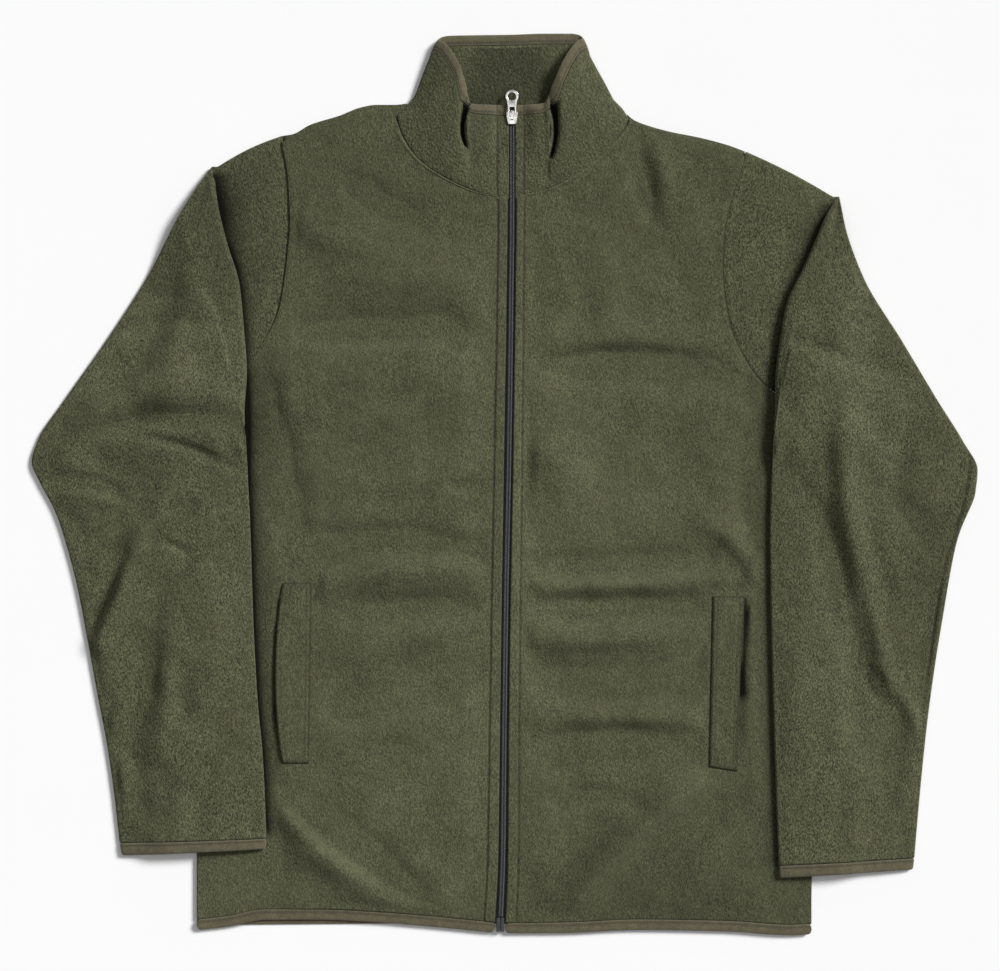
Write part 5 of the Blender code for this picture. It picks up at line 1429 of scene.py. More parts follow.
def cuff_surface(side, step):
    """Middle and upper rise of a cuff's binding: rows from its seam to its end, columns across the sleeve."""
    top = np.array(ARMS[side][-1], float)
    end = np.array(CUFF_ENDS[side], float)
    depth = np.linalg.norm(end[:2] - top[:2])
    t = np.linspace(GAP / depth, 1.0, 15)
    rows = top + (end - top) * t[:, None]
    outer, inner = rows[:, :2], rows[:, 2:]
    half = CUFF_BINDING_WALL + 0.5 * GAP
    width = np.linalg.norm(outer - inner, axis=1)
    inset = half / width[:, None]
    columns = np.linspace(0.0, 1.0, math.ceil(width[0] / step))
    share = inset + columns * (1.0 - 2.0 * inset)
    plan = outer[:, None] + share[..., None] * (inner - outer)[:, None]
    x, y = plan[..., 0], plan[..., 1]
    level = arm_level(side, x, y) + half - WALL_HALF
    loft = arm_loft(side, x, y, np.broadcast_to(columns, x.shape))
    return t, np.concatenate([plan, level[..., None]], axis=-1), loft


def cuff_mesh(name, side, trim):
    """The band round a cuff: a flat oval in section, its end and its seam rounded, slightly puckered."""
    t, middle, loft = cuff_surface(side, trim.step)
    near = np.minimum(t, 1.0 - t)[:, None] * BINDING
    inward = np.clip(near / CUFF_BINDING_WALL, 0.0, 1.0)
    share = np.broadcast_to(np.maximum(np.sqrt(1.0 - (1.0 - inward) ** 2), 0.1), loft.shape)
    along = from_ends(middle[..., :2], 1)[0]
    pucker = trim.pucker * np.sin(2.0 * np.pi * along / 7.3 + 1.3 * np.sin(along / 9.1)) * share
    stitch = groove(np.broadcast_to(t[:, None] * BINDING, loft.shape), BINDING_STITCH, GROOVE_HALF)
    half_outer, half_inner = tube_halves(CUFF_BINDING_WALL, share)
    outer = tube_rings(middle, upright(loft.shape), half_outer, loft + pucker - GROOVE_DEPTH * stitch)
    inner = tube_rings(middle, upright(loft.shape), half_inner, loft)
    plain = np.zeros((len(t), EDGE_CUTS - 1))
    # Painted shade in the stitch groove
    around = STITCH_SHADE * np.concatenate([stitch, plain, stitch[:, ::-1], plain], axis=1)
    ring = outer[int(np.argmin(np.abs(t * BINDING - BINDING_STITCH)))]
    upper, lower = ring[:loft.shape[1]], ring[loft.shape[1] + EDGE_CUTS - 1:-EDGE_CUTS + 1]
    return walled_tube(name, outer, inner, around), [upper, lower]


def draw_in(grid, stations, v):
    """Moves the wall's points towards the collar's middle where it folds back at the shoulders."""
    at_fold = ramp(np.abs(stations[:, :1] - COLLAR_MIDDLE), *FOLDS_FROM_MIDDLE)
    drawn = {}
    for side, table in COLLAR_WAIST.items():
        heights, shares = np.array(table).T
        drawn[side] = np.interp(v, heights, shares)
    share = at_fold * np.where(stations[:, :1] < COLLAR_MIDDLE, drawn["left"], drawn["right"])
    grid[..., 0] += share * (COLLAR_MIDDLE - grid[..., 0])


def binding_starts(stations):
    """Share of the height where the binding starts, so that it is equally wide where the band leans over."""
    edge = np.gradient(stations[:, 3:5], axis=0)
    edge /= np.linalg.norm(edge, axis=1)[:, None]
    up = stations[:, 3:5] - stations[:, 0:2]
    square = np.abs(edge[:, 0] * up[:, 1] - edge[:, 1] * up[:, 0])
    straight = 1.0 - BINDING / COLLAR_HEIGHT
    least = np.interp(stations[:, 4], COLLAR_CORNER, (straight, COLLAR_SPLIT_LEAST))
    return np.clip(1.0 - BINDING / square, least, straight)


def collar_stations(step):
    """Stations all round the collar, from the left edge of the zip to the right, and each one's run."""
    table = np.array(COLLAR_LEFT + COLLAR_RIGHT[-2::-1], float)
    along = run_lengths(table)
    where = cut_runs(np.diff(along) / math.sqrt(2.0), step, 2)
    where = np.interp(where, np.arange(len(along)), along)
    close = np.array(COLLAR_EDGE_CLOSE) * math.sqrt(2.0)
    where = np.unique(np.round(np.concatenate([where, close, along[-1] - close]), 3))
    return through(along, table, where)


def collar_middle(stations, v):
    """Middle face of the collar at each station's shares of its height, between the seam and the top edge.

    It runs straight up, swollen outwards where it stands, drawn in where it folds, and sunk at the seam.
    """
    grid = stations[:, None, :3] * (1.0 - v[..., None]) + stations[:, None, 3:] * v[..., None]
    draw_in(grid, stations, v)
    swell = np.sin(np.pi * np.clip(v, 0.0, 1.0)) * ramp(stations[:, None, 5], *STANDS_FROM)
    grid[..., 2] += COLLAR_SWELL * swell
    outside = ramp(stations[:, None, 2], *OUTSIDE_FROM)
    grid[..., 2] -= SEAM_SINKS * outside * (1.0 - smooth((v * COLLAR_HEIGHT + COLLAR_UNDER) / 5.0))
    for side, from_zip in from_zip_edges(stations).items():
        plateau = ramp(from_zip, *CENTRE_FROM_ZIP) * (1.0 - smooth((from_zip - CENTRE_EDGE[side]) / 4.6))
        upward = ramp(v, *CENTRE_UPWARD) * (1.0 - 0.35 * ramp(v, *CENTRE_TOP))
        grid[..., 2] += CENTRE_LIFT * plateau * upward
    grid[..., 2] -= np.maximum(grid[..., 2] - SLIT_BOTTOM, 0.0) * slit_share(stations, grid)
    return grid


def from_zip_edges(stations):
    """Distance of each station along the top edge from the left and from the right end of the collar."""
    run = lengths_along(stations[:, 3:5])[:, None]
    return {"left": run, "right": run[-1] - run}


def slit_share(stations, grid):
    """Share of the two deep slits beside the centre front at each point of the collar's front."""
    total = np.zeros(grid.shape[:2])
    for side, from_zip in from_zip_edges(stations).items():
        within = within_slit(side, COLLAR_SLITS[side], grid[..., 0], grid[..., 1], 1.1, 6.0)
        total = np.maximum(total, within * (from_zip < SLIT_REACH))
    return total


def collar_faces(stations, v, thickness, share, bump):
    """Outer and inner faces of the collar's wall, each moved off the middle along its normal."""
    grid = collar_middle(stations, v)
    normal = np.cross(np.gradient(grid, axis=0), np.gradient(grid, axis=1))
    normal /= np.linalg.norm(normal, axis=-1, keepdims=True)
    half = 0.5 * thickness * share[..., None] * normal
    return grid - half - bump[..., None] * normal, grid + half + bump[..., None] * normal


def collar_mesh(name, cloth):
    """The band of the collar: tucked behind the neck seam, topstitched beside the zip, edges rolled."""
    stations = collar_stations(cloth.collar_step)
    split = binding_starts(stations)[:, None]
    top = split - 2.0 * SEAM / BINDING * (1.0 - split)
    close = np.array(COLLAR_LOW_CLOSE)
    tall = 0.88 * COLLAR_HEIGHT
    count = math.ceil((tall - 2.0 * close[-1]) / cloth.collar_step)
    between = np.linspace(close[-1], tall - close[-1], count + 1)[1:-1]
    up = np.concatenate([close, between, tall - close[::-1]])
    under = COLLAR_UNDER / COLLAR_HEIGHT * ramp(stations[:, 2:3], *OUTSIDE_FROM)
    v = -under + (top + under) * up / tall
    grid = collar_middle(stations, v)
    left, right = from_ends(grid, 0)
    distance = np.minimum(np.minimum(up, tall - up)[None], np.minimum(left, right))
    share = rounding(distance)
    dent = groove(left, COLLAR_STITCH["left"], 1.0) + groove(right, COLLAR_STITCH["right"], 1.0)
    to_stitch = np.minimum(left / COLLAR_STITCH["left"], right / COLLAR_STITCH["right"])
    strip = 1.0 - ramp(to_stitch, 0.8, 0.3)
    bump = 0.2 * strip - 0.45 * dent
    bump = bump + 0.12 * cloth.swell * unevenness(grid[..., 0] * 1.6, grid[..., 1] * 1.6, COLLAR_SEED)
    bump = bump * np.broadcast_to(share, bump.shape)
    lower, upper = collar_faces(stations, v, CLOTH, share, bump)
    from_end = np.minimum(left, right)
    ends = np.minimum((tall - up)[None], from_end)
    # Painted shade in the seams and stitch grooves, painted light along the neck seam and black painted shade
    # in the two slits; inside the back, painted shade, partly the inner face's own darker tone, and a lighter
    # thread line along its stitches
    dark = np.maximum(SEAM_SHADE * groove(ends, 0.0, 1.0), 0.75 * dent)
    dark = dark - 0.5 * SEAM_LIGHT * groove(up, 2.6, 1.3)[None] * ramp(from_end, 4.0, 8.0)
    dark = np.maximum(dark, SLIT_SHADE * slit_share(stations, grid))
    at_back = ramp(from_end, BACK_START, BACK_RUN)
    inside = np.maximum(dark, at_back * INSIDE_SHADE)
    inside = inside - at_back * (INSIDE_SHADE + SEAM_LIGHT) * groove((tall - up)[None], 1.4, 0.8)
    return wall_between(name, lower, upper, dark, inside)


def collar_binding_mesh(name, trim):
    """The binding over the collar's top edge: a flat oval all round, stitched near its seam."""
    stations = collar_stations(trim.step)
    split = binding_starts(stations)[:, None]
    turn = np.linspace(-0.5 * np.pi, 0.5 * np.pi, 17)
    height = BINDING * (0.5 + 0.5 * np.sin(turn))
    v = split + (1.0 - split) * height / BINDING
    share = np.broadcast_to(np.maximum(np.cos(turn) ** 0.62, 0.08), v.shape)
    along = run_lengths(stations[:, 3:])
    pucker = trim.pucker * np.sin(2.0 * np.pi * along / 6.7 + 1.5 * np.sin(along / 11.0))[:, None] * share
    stitch = np.broadcast_to(groove(height, COLLAR_BINDING_STITCH, GROOVE_HALF), v.shape)
    bump = 0.5 * pucker - GROOVE_DEPTH * stitch
    lower, upper = collar_faces(stations, v, COLLAR_BINDING_THICK, share, bump)
    row = int(np.argmin(np.abs(height - COLLAR_BINDING_STITCH)))
    grid = collar_middle(stations, v)
    left, right = from_ends(grid, 0)
    across = np.maximum(
        groove(left, COLLAR_STITCH["left"], GROOVE_HALF), groove(right, COLLAR_STITCH["right"], GROOVE_HALF))
    # Painted shade in the stitch grooves and black painted shade in the slits
    dark = np.maximum(STITCH_SHADE * stitch, 0.8 * across)
    dark = np.maximum(dark, SLIT_SHADE * slit_share(stations, grid))
    mesh = wall_between(name, lower, upper, dark, dark)
    return mesh, [lower[2:-2, row], upper[2:-2, row]]


def collar_stitches(side):
    """The line of stitches beside the zip on the collar's outer face."""
    stations = collar_stations(1.6)
    v = np.broadcast_to(np.linspace(0.03, 0.85, 40), (len(stations), 40))
    grid = collar_middle(stations, v)
    left, right = from_ends(grid, 0)
    reach = left if side == "left" else right
    index = np.abs(reach - COLLAR_STITCH[side]).argmin(axis=0)
    line = grid[index, np.arange(v.shape[1])]
    line[:, 2] += 0.5 * CLOTH - GROOVE_DEPTH
    return line


def coil_teeth(name, side):
    """The coil's windings: a thin wire bent up, over and down, once for each tooth, along the zip."""
    low, high = COIL_LOW, COIL_LOW + COIL_HEIGHT
    out = OUTWARD[side]
    path = np.array([
        (2.1, low + 0.4, 0.0), (2.1, high - 0.5, 0.05), (1.6, high - 0.2, 0.12), (0.55, high - 0.2, 0.3),
        (0.1, high - 0.7, 0.38), (0.1, low + 0.4, 0.4),
    ])
    shift = 0.5 * COIL_PITCH if side == "left" else 0.0
    y = np.arange(ZIP_BOTTOM + 1.0, ZIP_TOP - 1.0, COIL_PITCH) + shift
    wire = np.stack([out * path[:, 0], path[:, 2] * 1.6, path[:, 1]], axis=1)
    ahead = np.gradient(wire, axis=0)
    ahead /= np.linalg.norm(ahead, axis=1)[:, None]
    lengthways = np.array([0.0, 1.0, 0.0])
    normal = np.cross(ahead, lengthways)
    normal /= np.linalg.norm(normal, axis=1)[:, None]
    binormal = np.cross(ahead, normal)
    turn = np.linspace(0.0, 2.0 * np.pi, 5, endpoint=False)
    ring = 0.3 * np.cos(turn)[:, None, None] * normal + 0.42 * np.sin(turn)[:, None, None] * binormal
    shape = np.swapaxes(wire + ring, 0, 1).reshape(-1, 3)
    index = np.arange(len(shape)).reshape(len(wire), len(turn))
    faces = grid_faces(np.hstack([index, index[:, :1]]))
    for cap in (index[0], index[-1]):
        faces += [cap[[0, 1, 2, 3]].tolist(), cap[[0, 3, 4, 4]].tolist()]
    centres = np.stack([zip_x(y), y, 0.0 * y], axis=1)
    points = centres[:, None] + shape[None]
    index = np.arange(len(centres))[:, None, None] * len(shape) + np.asarray(faces)[None]
    faces = [list(dict.fromkeys(face)) for face in index.reshape(-1, 4).tolist()]
    return make_mesh(name, points.reshape(-1, 3), faces)


def coil_threads(name, side):
    """The two sewing threads that hold the coil down on its tape, one along each of its edges."""
    y = np.arange(ZIP_BOTTOM, ZIP_TOP, 3.0)
    x = zip_x(y) + OUTWARD[side] * 1.35
    z = COIL_LOW + COIL_HEIGHT - 0.3 + 0.12 * np.cos(2.0 * np.pi * y / 6.0)
    return carried(name, np.stack([x, y, z], axis=1), oval(0.5, 0.5, 8, 1.0))


def rounded_plate(name, outlines, thickness, round_by):
    """Flat plate from closed outlines with rounded edges; an outline inside another is a hole."""
    curve = bpy.data.curves.new(name, "CURVE")
    curve.dimensions = "2D"
    curve.fill_mode = "BOTH"
    curve.extrude = (0.5 * thickness - round_by) * MM
    curve.bevel_depth = round_by * MM
    curve.bevel_resolution = 3
    curve.offset = -round_by * MM
    for outline in outlines:
        spline = curve.splines.new("POLY")
        spline.points.add(len(outline) - 1)
        for point, (x, y) in zip(spline.points, outline):
            point.co = (x * MM, y * MM, 0.0, 1.0)
        spline.use_cyclic_u = True
    guide = bpy.data.objects.new(name, curve)
    bpy.context.scene.collection.objects.link(guide)
    graph = bpy.context.evaluated_depsgraph_get()
    mesh = bpy.data.meshes.new_from_object(guide.evaluated_get(graph))
    bpy.data.objects.remove(guide)
    bpy.data.curves.remove(curve)
    shape = bmesh.new()
    shape.from_mesh(mesh)
    bmesh.ops.remove_doubles(shape, verts=shape.verts, dist=1e-6)
    bmesh.ops.recalc_face_normals(shape, faces=shape.faces)
    shape.to_mesh(mesh)
    shape.free()
    mesh.materials.clear()
    mesh.name = name
    mesh.shade_smooth()
    mesh.set_sharp_from_angle(angle=math.radians(50.0))
    return mesh


def moved(mesh, place, turn=np.eye(3)):
    """The mesh turned by a 3 by 3 matrix and set down at a place in millimetres."""
    points = np.empty(3 * len(mesh.vertices))
    mesh.vertices.foreach_get("co", points)
    points = points.reshape(-1, 3) @ np.asarray(turn, float).T + np.asarray(place, float) * MM
    mesh.vertices.foreach_set("co", points.ravel())
    mesh.update()
    return mesh


def arc(centre_x, centre_y, radius, start, end, steps):
    """Points on an arc between two angles in degrees."""
    angles = np.radians(np.linspace(start, end, steps))
    return np.stack([centre_x + radius * np.cos(angles), centre_y + radius * np.sin(angles)], axis=1).tolist()


def round_rectangle(width, depth, radius, steps=7):
    """Outline of a rectangle with rounded corners about the origin."""
    x, y = 0.5 * width - radius, 0.5 * depth - radius
    corners = ((x, y, 0), (-x, y, 90), (-x, -y, 180), (x, -y, 270))
    return [point for cx, cy, start in corners for point in arc(cx, cy, radius, start, start + 90, steps)]


def joined(name, meshes):
    """One mesh of several closed shapes."""
    shape = bmesh.new()
    for mesh in meshes:
        shape.from_mesh(mesh)
        bpy.data.meshes.remove(mesh)
    result = bpy.data.meshes.new(name)
    shape.to_mesh(result)
    shape.free()
    result.set_sharp_from_angle(angle=math.radians(50.0))
    return result


def slider_mesh(name):
    """The slider: a shield-shaped plate with raised flanges, a core down to the coil and the tab's bridge."""
    centre = float(zip_x(HINGE_Y))
    width, depth, thick = SLIDER_SIZE
    half, end = 0.5 * width, 0.5 * depth
    shield = arc(half - 1.6, end - 1.6, 1.6, 0, 90, 7) + arc(-half + 1.6, end - 1.6, 1.6, 90, 180, 7)
    shield += [(-half, 1.0)] + arc(-half + 2.5, -end + 1.4, 1.4, 180, 270, 7)
    shield += arc(half - 2.5, -end + 1.4, 1.4, 270, 360, 7) + [(half, 1.0)]
    plate = rounded_plate("plate", [shield], thick, 0.4)
    moved(plate, (centre, SLIDER_Y, SLIDER_LOW + 0.5 * thick))
    core_low, core_high = COIL_LOW + COIL_HEIGHT + GAP, SLIDER_LOW + 0.5
    core = rounded_plate("core", [round_rectangle(*CORE_SIZE, 1.2)], core_high - core_low, 0.15)
    moved(core, (centre, SLIDER_Y, 0.5 * (core_low + core_high)))
    high, low = ARCH_CLEAR + ARCH_THICK, SLIDER_LOW + 0.4 * thick - HINGE_Z
    bridge = [(ARCH_FRONT, low)] + arc(ARCH_FRONT - 1.5, high - 1.5, 1.5, 0, 90, 8)
    bridge += arc(1.5 - ARCH_BACK, high - 1.5, 1.5, 90, 180, 8) + [(-ARCH_BACK, low)]
    back, front = ARCH_THICK - ARCH_BACK, ARCH_FRONT - ARCH_THICK
    bridge += [(back, low)] + arc(back + 0.7, ARCH_CLEAR - 0.7, 0.7, 180, 90, 5)
    bridge += arc(front - 0.7, ARCH_CLEAR - 0.7, 0.7, 90, 0, 5) + [(front, low)]
    arch = rounded_plate("arch", [bridge], 2.0 * ARCH_HALF_WIDTH, 0.3)
    moved(arch, (centre, HINGE_Y, HINGE_Z), [[0, 0, 1], [1, 0, 0], [0, 1, 0]])
    return joined(name, [plate, core, arch])


def tab_mesh(name):
    """The pull tab: a flat ring on a waist, with a slot whose end bar hooks under the bridge."""
    outer = arc(0.0, TAB_RING_CENTRE, TAB_RING_RADIUS, -38.0, 218.0, 56)
    waist = [(TAB_WAIST_HALF - 0.5, -BAR_HALF), (TAB_WAIST_HALF, 0.3)]
    waist.append((TAB_WAIST_HALF, TAB_SLOT_END + 0.5))
    outer += [(-x, y) for x, y in reversed(waist)] + waist
    hole = arc(0.0, TAB_RING_CENTRE, TAB_HOLE_RADIUS, 360.0, 7.5, 48)
    slot = arc(-TAB_SLOT_HALF + 0.8, TAB_SLOT_END - 0.8, 0.8, 180.0, 90.0, 5)
    slot += arc(TAB_SLOT_HALF - 0.8, TAB_SLOT_END - 0.8, 0.8, 90.0, 0.0, 5)
    slot += [(TAB_SLOT_HALF, BAR_HALF), (-TAB_SLOT_HALF, BAR_HALF)]
    mesh = rounded_plate(name, [outer, hole, slot], TAB_THICK, 0.3)
    centre = float(zip_x(HINGE_Y))
    return moved(mesh, (centre, HINGE_Y, HINGE_Z))


def box_mesh(name):
    """The retainer at the hem: two rounded ribs side by side, with a narrow slit over a lower core."""
    width, depth, tall = BOX_SIZE
    y = ZIP_BOTTOM - 0.5 * depth - GAP
    x = float(zip_x(y))
    z = FRONT_LOW + GAP + 0.5 * tall
    halves = []
    for out in (-1.0, 1.0):
        half = rounded_plate("half", [round_rectangle(0.5 * width - 0.2, depth, 0.8)], tall, 0.5)
        halves.append(moved(half, (x + out * (0.25 * width + 0.1), y, z)))
    core = rounded_plate("core", [round_rectangle(0.6 * width, depth - 2.4, 0.5)], tall - 1.2, 0.2)
    halves.append(moved(core, (x, y, z - 0.3)))
    return joined(name, halves)


class Shades:
    """Small helper that lays out one material's nodes."""

    def __init__(self, name):
        self.material = bpy.data.materials.new(name)
        self.material.use_nodes = True
        self.nodes = self.material.node_tree.nodes
        self.links = self.material.node_tree.links
        self.shader = self.nodes["Principled BSDF"]
        self.object = self.add("ShaderNodeTexCoord").outputs["Object"]

    def add(self, kind, **settings):
        node = self.nodes.new(kind)
        for key, value in settings.items():
            setattr(node, key, value)
        return node

    def link(self, source, node, socket):
        if isinstance(source, (int, float)):
            node.inputs[socket].default_value = source
        elif isinstance(source, tuple):
            node.inputs[socket].default_value = (*source, 1.0) if len(source) == 3 else source
        else:
            self.links.new(source, node.inputs[socket])

    def maths(self, operation, first, second=0.0, third=0.0):
        node = self.add("ShaderNodeMath", operation=operation)
        for socket, value in enumerate((first, second, third)):
            self.link(value, node, socket)
        return node.outputs[0]

    def times(self, first, second):
        return self.maths("MULTIPLY", first, second)

    def turned(self, scale=(1.0, 1.0, 1.0), angle=0.0):
        """Object coordinates, turned in plan by an angle in degrees and then scaled."""
        turn = self.add("ShaderNodeMapping")
        turn.inputs["Rotation"].default_value = (0.0, 0.0, math.radians(angle))
        self.link(self.object, turn, "Vector")
        stretch = self.add("ShaderNodeMapping")
        stretch.inputs["Scale"].default_value = scale
        self.link(turn.outputs["Vector"], stretch, "Vector")
        return stretch.outputs["Vector"]

    def noise(self, vector, size, detail=2.0, rough=0.5):
        """Noise whose features are about the given size in millimetres."""
        node = self.add("ShaderNodeTexNoise")
        self.link(vector, node, "Vector")
        self.link(1.0 / (size * MM), node, "Scale")
        self.link(detail, node, "Detail")
        self.link(rough, node, "Roughness")
        return node.outputs["Fac"]

    def cells(self, vector, size):
        """Distance to the nearest of many scattered cells, each about the given size in millimetres."""
        node = self.add("ShaderNodeTexVoronoi")
        self.link(vector, node, "Vector")
        self.link(1.0 / (size * MM), node, "Scale")
        return node.outputs["Distance"]

    def mix(self, share, first, second, blend="MIX"):
        node = self.add("ShaderNodeMix", data_type="RGBA", blend_type=blend)
        self.link(share, node, 0)
        self.link(first, node, 6)
        self.link(second, node, 7)
        return node.outputs[2]

    def spread(self, value, low, high, to_low=0.0, to_high=1.0):
        node = self.add("ShaderNodeMapRange", interpolation_type="SMOOTHSTEP")
        for socket, item in enumerate((value, low, high, to_low, to_high)):
            self.link(item, node, socket)
        return node.outputs[0]

    def tinted(self, value, low, high, colour, dark, light):
        """The colour made darker where the value is low and lighter where it is high, by two factors."""
        ends = [tuple(factor * c for c in colour) for factor in (dark, light)]
        return self.mix(self.spread(value, low, high), *ends)

    def shaded(self, colour, shade, depth):
        """The colour times a grey tone, and darker by the given depth where the seam attribute is 1: painted
        shade, or painted light where it is negative.
        """
        seam = self.add("ShaderNodeAttribute", attribute_name="seam").outputs["Fac"]
        shade = self.times(shade, self.maths("SUBTRACT", 1.0, self.times(seam, depth)))
        grey = self.add("ShaderNodeCombineColor")
        for socket in range(3):
            self.link(shade, grey, socket)
        return self.mix(1.0, colour, grey.outputs[0], "MULTIPLY")

    def bump(self, height, distance, strength):
        node = self.add("ShaderNodeBump")
        self.link(height, node, "Height")
        self.link(distance * MM, node, "Distance")
        self.link(strength, node, "Strength")
        return node.outputs["Normal"]

    def finish(self, colour, roughness, normal=None, **constants):
        self.link(colour, self.shader, "Base Color")
        self.link(roughness, self.shader, "Roughness")
        if normal is not None:
            self.link(normal, self.shader, "Normal")
        for key, value in constants.items():
            self.link(value, self.shader, key.replace("_", " "))
        return self.material


def fleece(name, cloth, angle=0.0, pebbles=0.35, contrast=0.50):
    """Brushed fleece: a nap of short fibres laid along the panel, soft clumps, mottled colour, and painted
    shade and light from the seam attribute.
    """
    shades = Shades(name)
    plain = shades.turned(angle=angle)
    along = shades.turned((1.0, 0.42, 1.0), angle)
    fibre = shades.noise(along, 0.9, 3.0, 0.65)
    clump = shades.noise(along, 3.4, 2.0, 0.55)
    mottle = shades.noise(plain, 9.0)
    wide = shades.noise(plain, 70.0)
    pebble = shades.cells(plain, 2.3)

    base = tuple(cloth.colour)
    dark = tuple((1.0 - contrast) * c for c in base)
    light = ((1.0 + contrast) * base[0], (0.96 + contrast) * base[1], (0.91 + contrast) * base[2])
    brown = (1.12 * base[0], 0.97 * base[1], 0.96 * base[2])
    colour = shades.mix(shades.spread(fibre, 0.34, 0.68), dark, light)
    colour = shades.mix(shades.times(shades.spread(wide, 0.4, 0.62), 0.18), colour, brown)
    shade = shades.spread(mottle, 0.3, 0.7, 0.94, 1.06)
    shade = shades.times(shade, shades.spread(clump, 0.3, 0.72, 0.93, 1.07))
    shade = shades.times(shade, shades.spread(shades.noise(plain, 42.0), 0.35, 0.65, 0.95, 1.05))
    colour = shades.shaded(colour, shade, 0.62)

    height = shades.times(fibre, 0.55)
    height = shades.maths("MULTIPLY_ADD", clump, 0.6, height)
    height = shades.maths("MULTIPLY_ADD", pebble, pebbles, height)
    normal = shades.bump(height, cloth.nap, 0.85)
    return shades.finish(
        colour, 1.0, normal, Sheen_Weight=cloth.sheen, Sheen_Roughness=0.55, Specular_IOR_Level=0.12,
        Sheen_Tint=(0.62, 0.62, 0.44),
    )


def tape_cloth(name, colour, pitch, angle=0.0, rough=0.9):
    """Fine knit or woven tape: ribs across and along at the thread's pitch, fuzz and mottle in its tone, and
    painted shade from the seam attribute.
    """
    shades = Shades(name)
    plain = shades.turned(angle=angle)
    split = shades.add("ShaderNodeSeparateXYZ")
    shades.link(plain, split, "Vector")
    waves = []
    for axis, share in (("X", 1.0), ("Y", 0.8)):
        turn = shades.times(split.outputs[axis], 2.0 * math.pi / (share * pitch * MM))
        waves.append(shades.maths("SINE", turn))
    weave = shades.times(*waves)
    fuzz = shades.noise(plain, 0.9, 3.0, 0.6)
    mottle = shades.noise(plain, 7.0)
    tint = shades.tinted(fuzz, 0.3, 0.7, colour, 0.7, 1.3)
    shade = shades.maths("MULTIPLY_ADD", weave, 0.10, 0.95)
    shade = shades.times(shade, shades.spread(mottle, 0.3, 0.7, 0.9, 1.1))
    tint = shades.shaded(tint, shade, 0.6)
    height = shades.maths("MULTIPLY_ADD", fuzz, 0.8, shades.times(weave, 0.35))
    normal = shades.bump(height, 0.3, 0.8)
    return shades.finish(tint, rough, normal, Sheen_Weight=0.25, Sheen_Roughness=0.5, Specular_IOR_Level=0.2)


def knit(name, trim, angle=0.0):
    """The stretch knit of the bindings."""
    return tape_cloth(f"{name}_knit", tuple(trim.binding_colour), KNIT_PITCH, angle)


def thread(name, colour):
    """Sewing thread: a fine twist, a little shine."""
    shades = Shades(name)
    twist = shades.noise(shades.turned(angle=35.0), 0.5, 1.0)
    tint = shades.tinted(twist, 0.35, 0.65, colour, 0.75, 1.2)
    return shades.finish(tint, 0.7, shades.bump(twist, 0.08, 0.6), Sheen_Weight=0.1, Specular_IOR_Level=0.35)


def plastic(name, colour, rough):
    """Moulded or drawn plastic: faint unevenness in colour, roughness and surface."""
    shades = Shades(name)
    spots = shades.noise(shades.turned(), 2.5, 3.0)
    tint = shades.tinted(spots, 0.35, 0.7, colour, 0.85, 1.15)
    roughness = shades.spread(spots, 0.3, 0.7, rough - 0.05, rough + 0.08)
    return shades.finish(tint, roughness, shades.bump(spots, 0.05, 0.4), Specular_IOR_Level=0.5)


def plated(name, trim):
    """Plated zinc: bright, with faint brushing, small dull spots and slightly darker worn places."""
    shades = Shades(name)
    brushed = shades.noise(shades.turned((1.0, 0.12, 1.0)), 0.35, 2.0)
    spots = shades.noise(shades.turned(), 2.2, 3.0)
    tint = shades.mix(shades.spread(spots, 0.42, 0.72), BRIGHT_METAL, DULL_METAL)
    roughness = shades.spread(spots, 0.35, 0.7, trim.shine, trim.shine + 0.16)
    return shades.finish(tint, roughness, shades.bump(brushed, 0.03, 0.5), Metallic=1.0)


def paper(name, grey):
    """Pale even floor with the faintest unevenness."""
    shades = Shades(name)
    spots = shades.noise(shades.turned(), 120.0, 2.0)
    tint = shades.mix(spots, (grey,) * 3, (0.985 * grey,) * 3)
    return shades.finish(tint, 0.9, Specular_IOR_Level=0.1)


class JacketCloth(bpy.types.PropertyGroup):
    """Sizes and looks of the fleece panels, in millimetres."""

    front_step: FloatProperty(
        name="Front step", description="Mesh step of the fronts, mm", default=3.1, min=1.0)
    back_step: FloatProperty(name="Back step", description="Mesh step of the back, mm", default=5.0, min=1.0)
    sleeve_step: FloatProperty(
        name="Sleeve step", description="Mesh step of the sleeves, mm", default=3.3, min=1.0)
    collar_step: FloatProperty(
        name="Collar step", description="Mesh step of the collar, mm", default=2.2, min=1.0)
    front_creases: FloatProperty(
        name="Front creases", description="Height of the fronts' creases, as a factor", default=5.3)
    sleeve_creases: FloatProperty(
        name="Sleeve creases", description="Height of the sleeves' creases, as a factor", default=2.5)
    swell: FloatProperty(
        name="Swell", description="Height of the cloth's slight swell, as a factor", default=2.0)
    neck_ridge: FloatProperty(name="Neck ridge", description="Rise beside the neck seam, mm", default=0.6)
    armhole_swell: FloatProperty(name="Armhole swell", description="Rise beside the armhole, mm", default=0.3)
    nap: FloatProperty(name="Nap", description="Depth of the nap's bump, mm", default=1.05)
    sheen: FloatProperty(
        name="Sheen", description="Weight of the fibres' sheen", default=0.18, min=0.0, max=1.0)
    colour: FloatVectorProperty(
        name="Colour", description="Main colour of the fleece", subtype="COLOR",
        default=(0.0755, 0.0812, 0.0455))


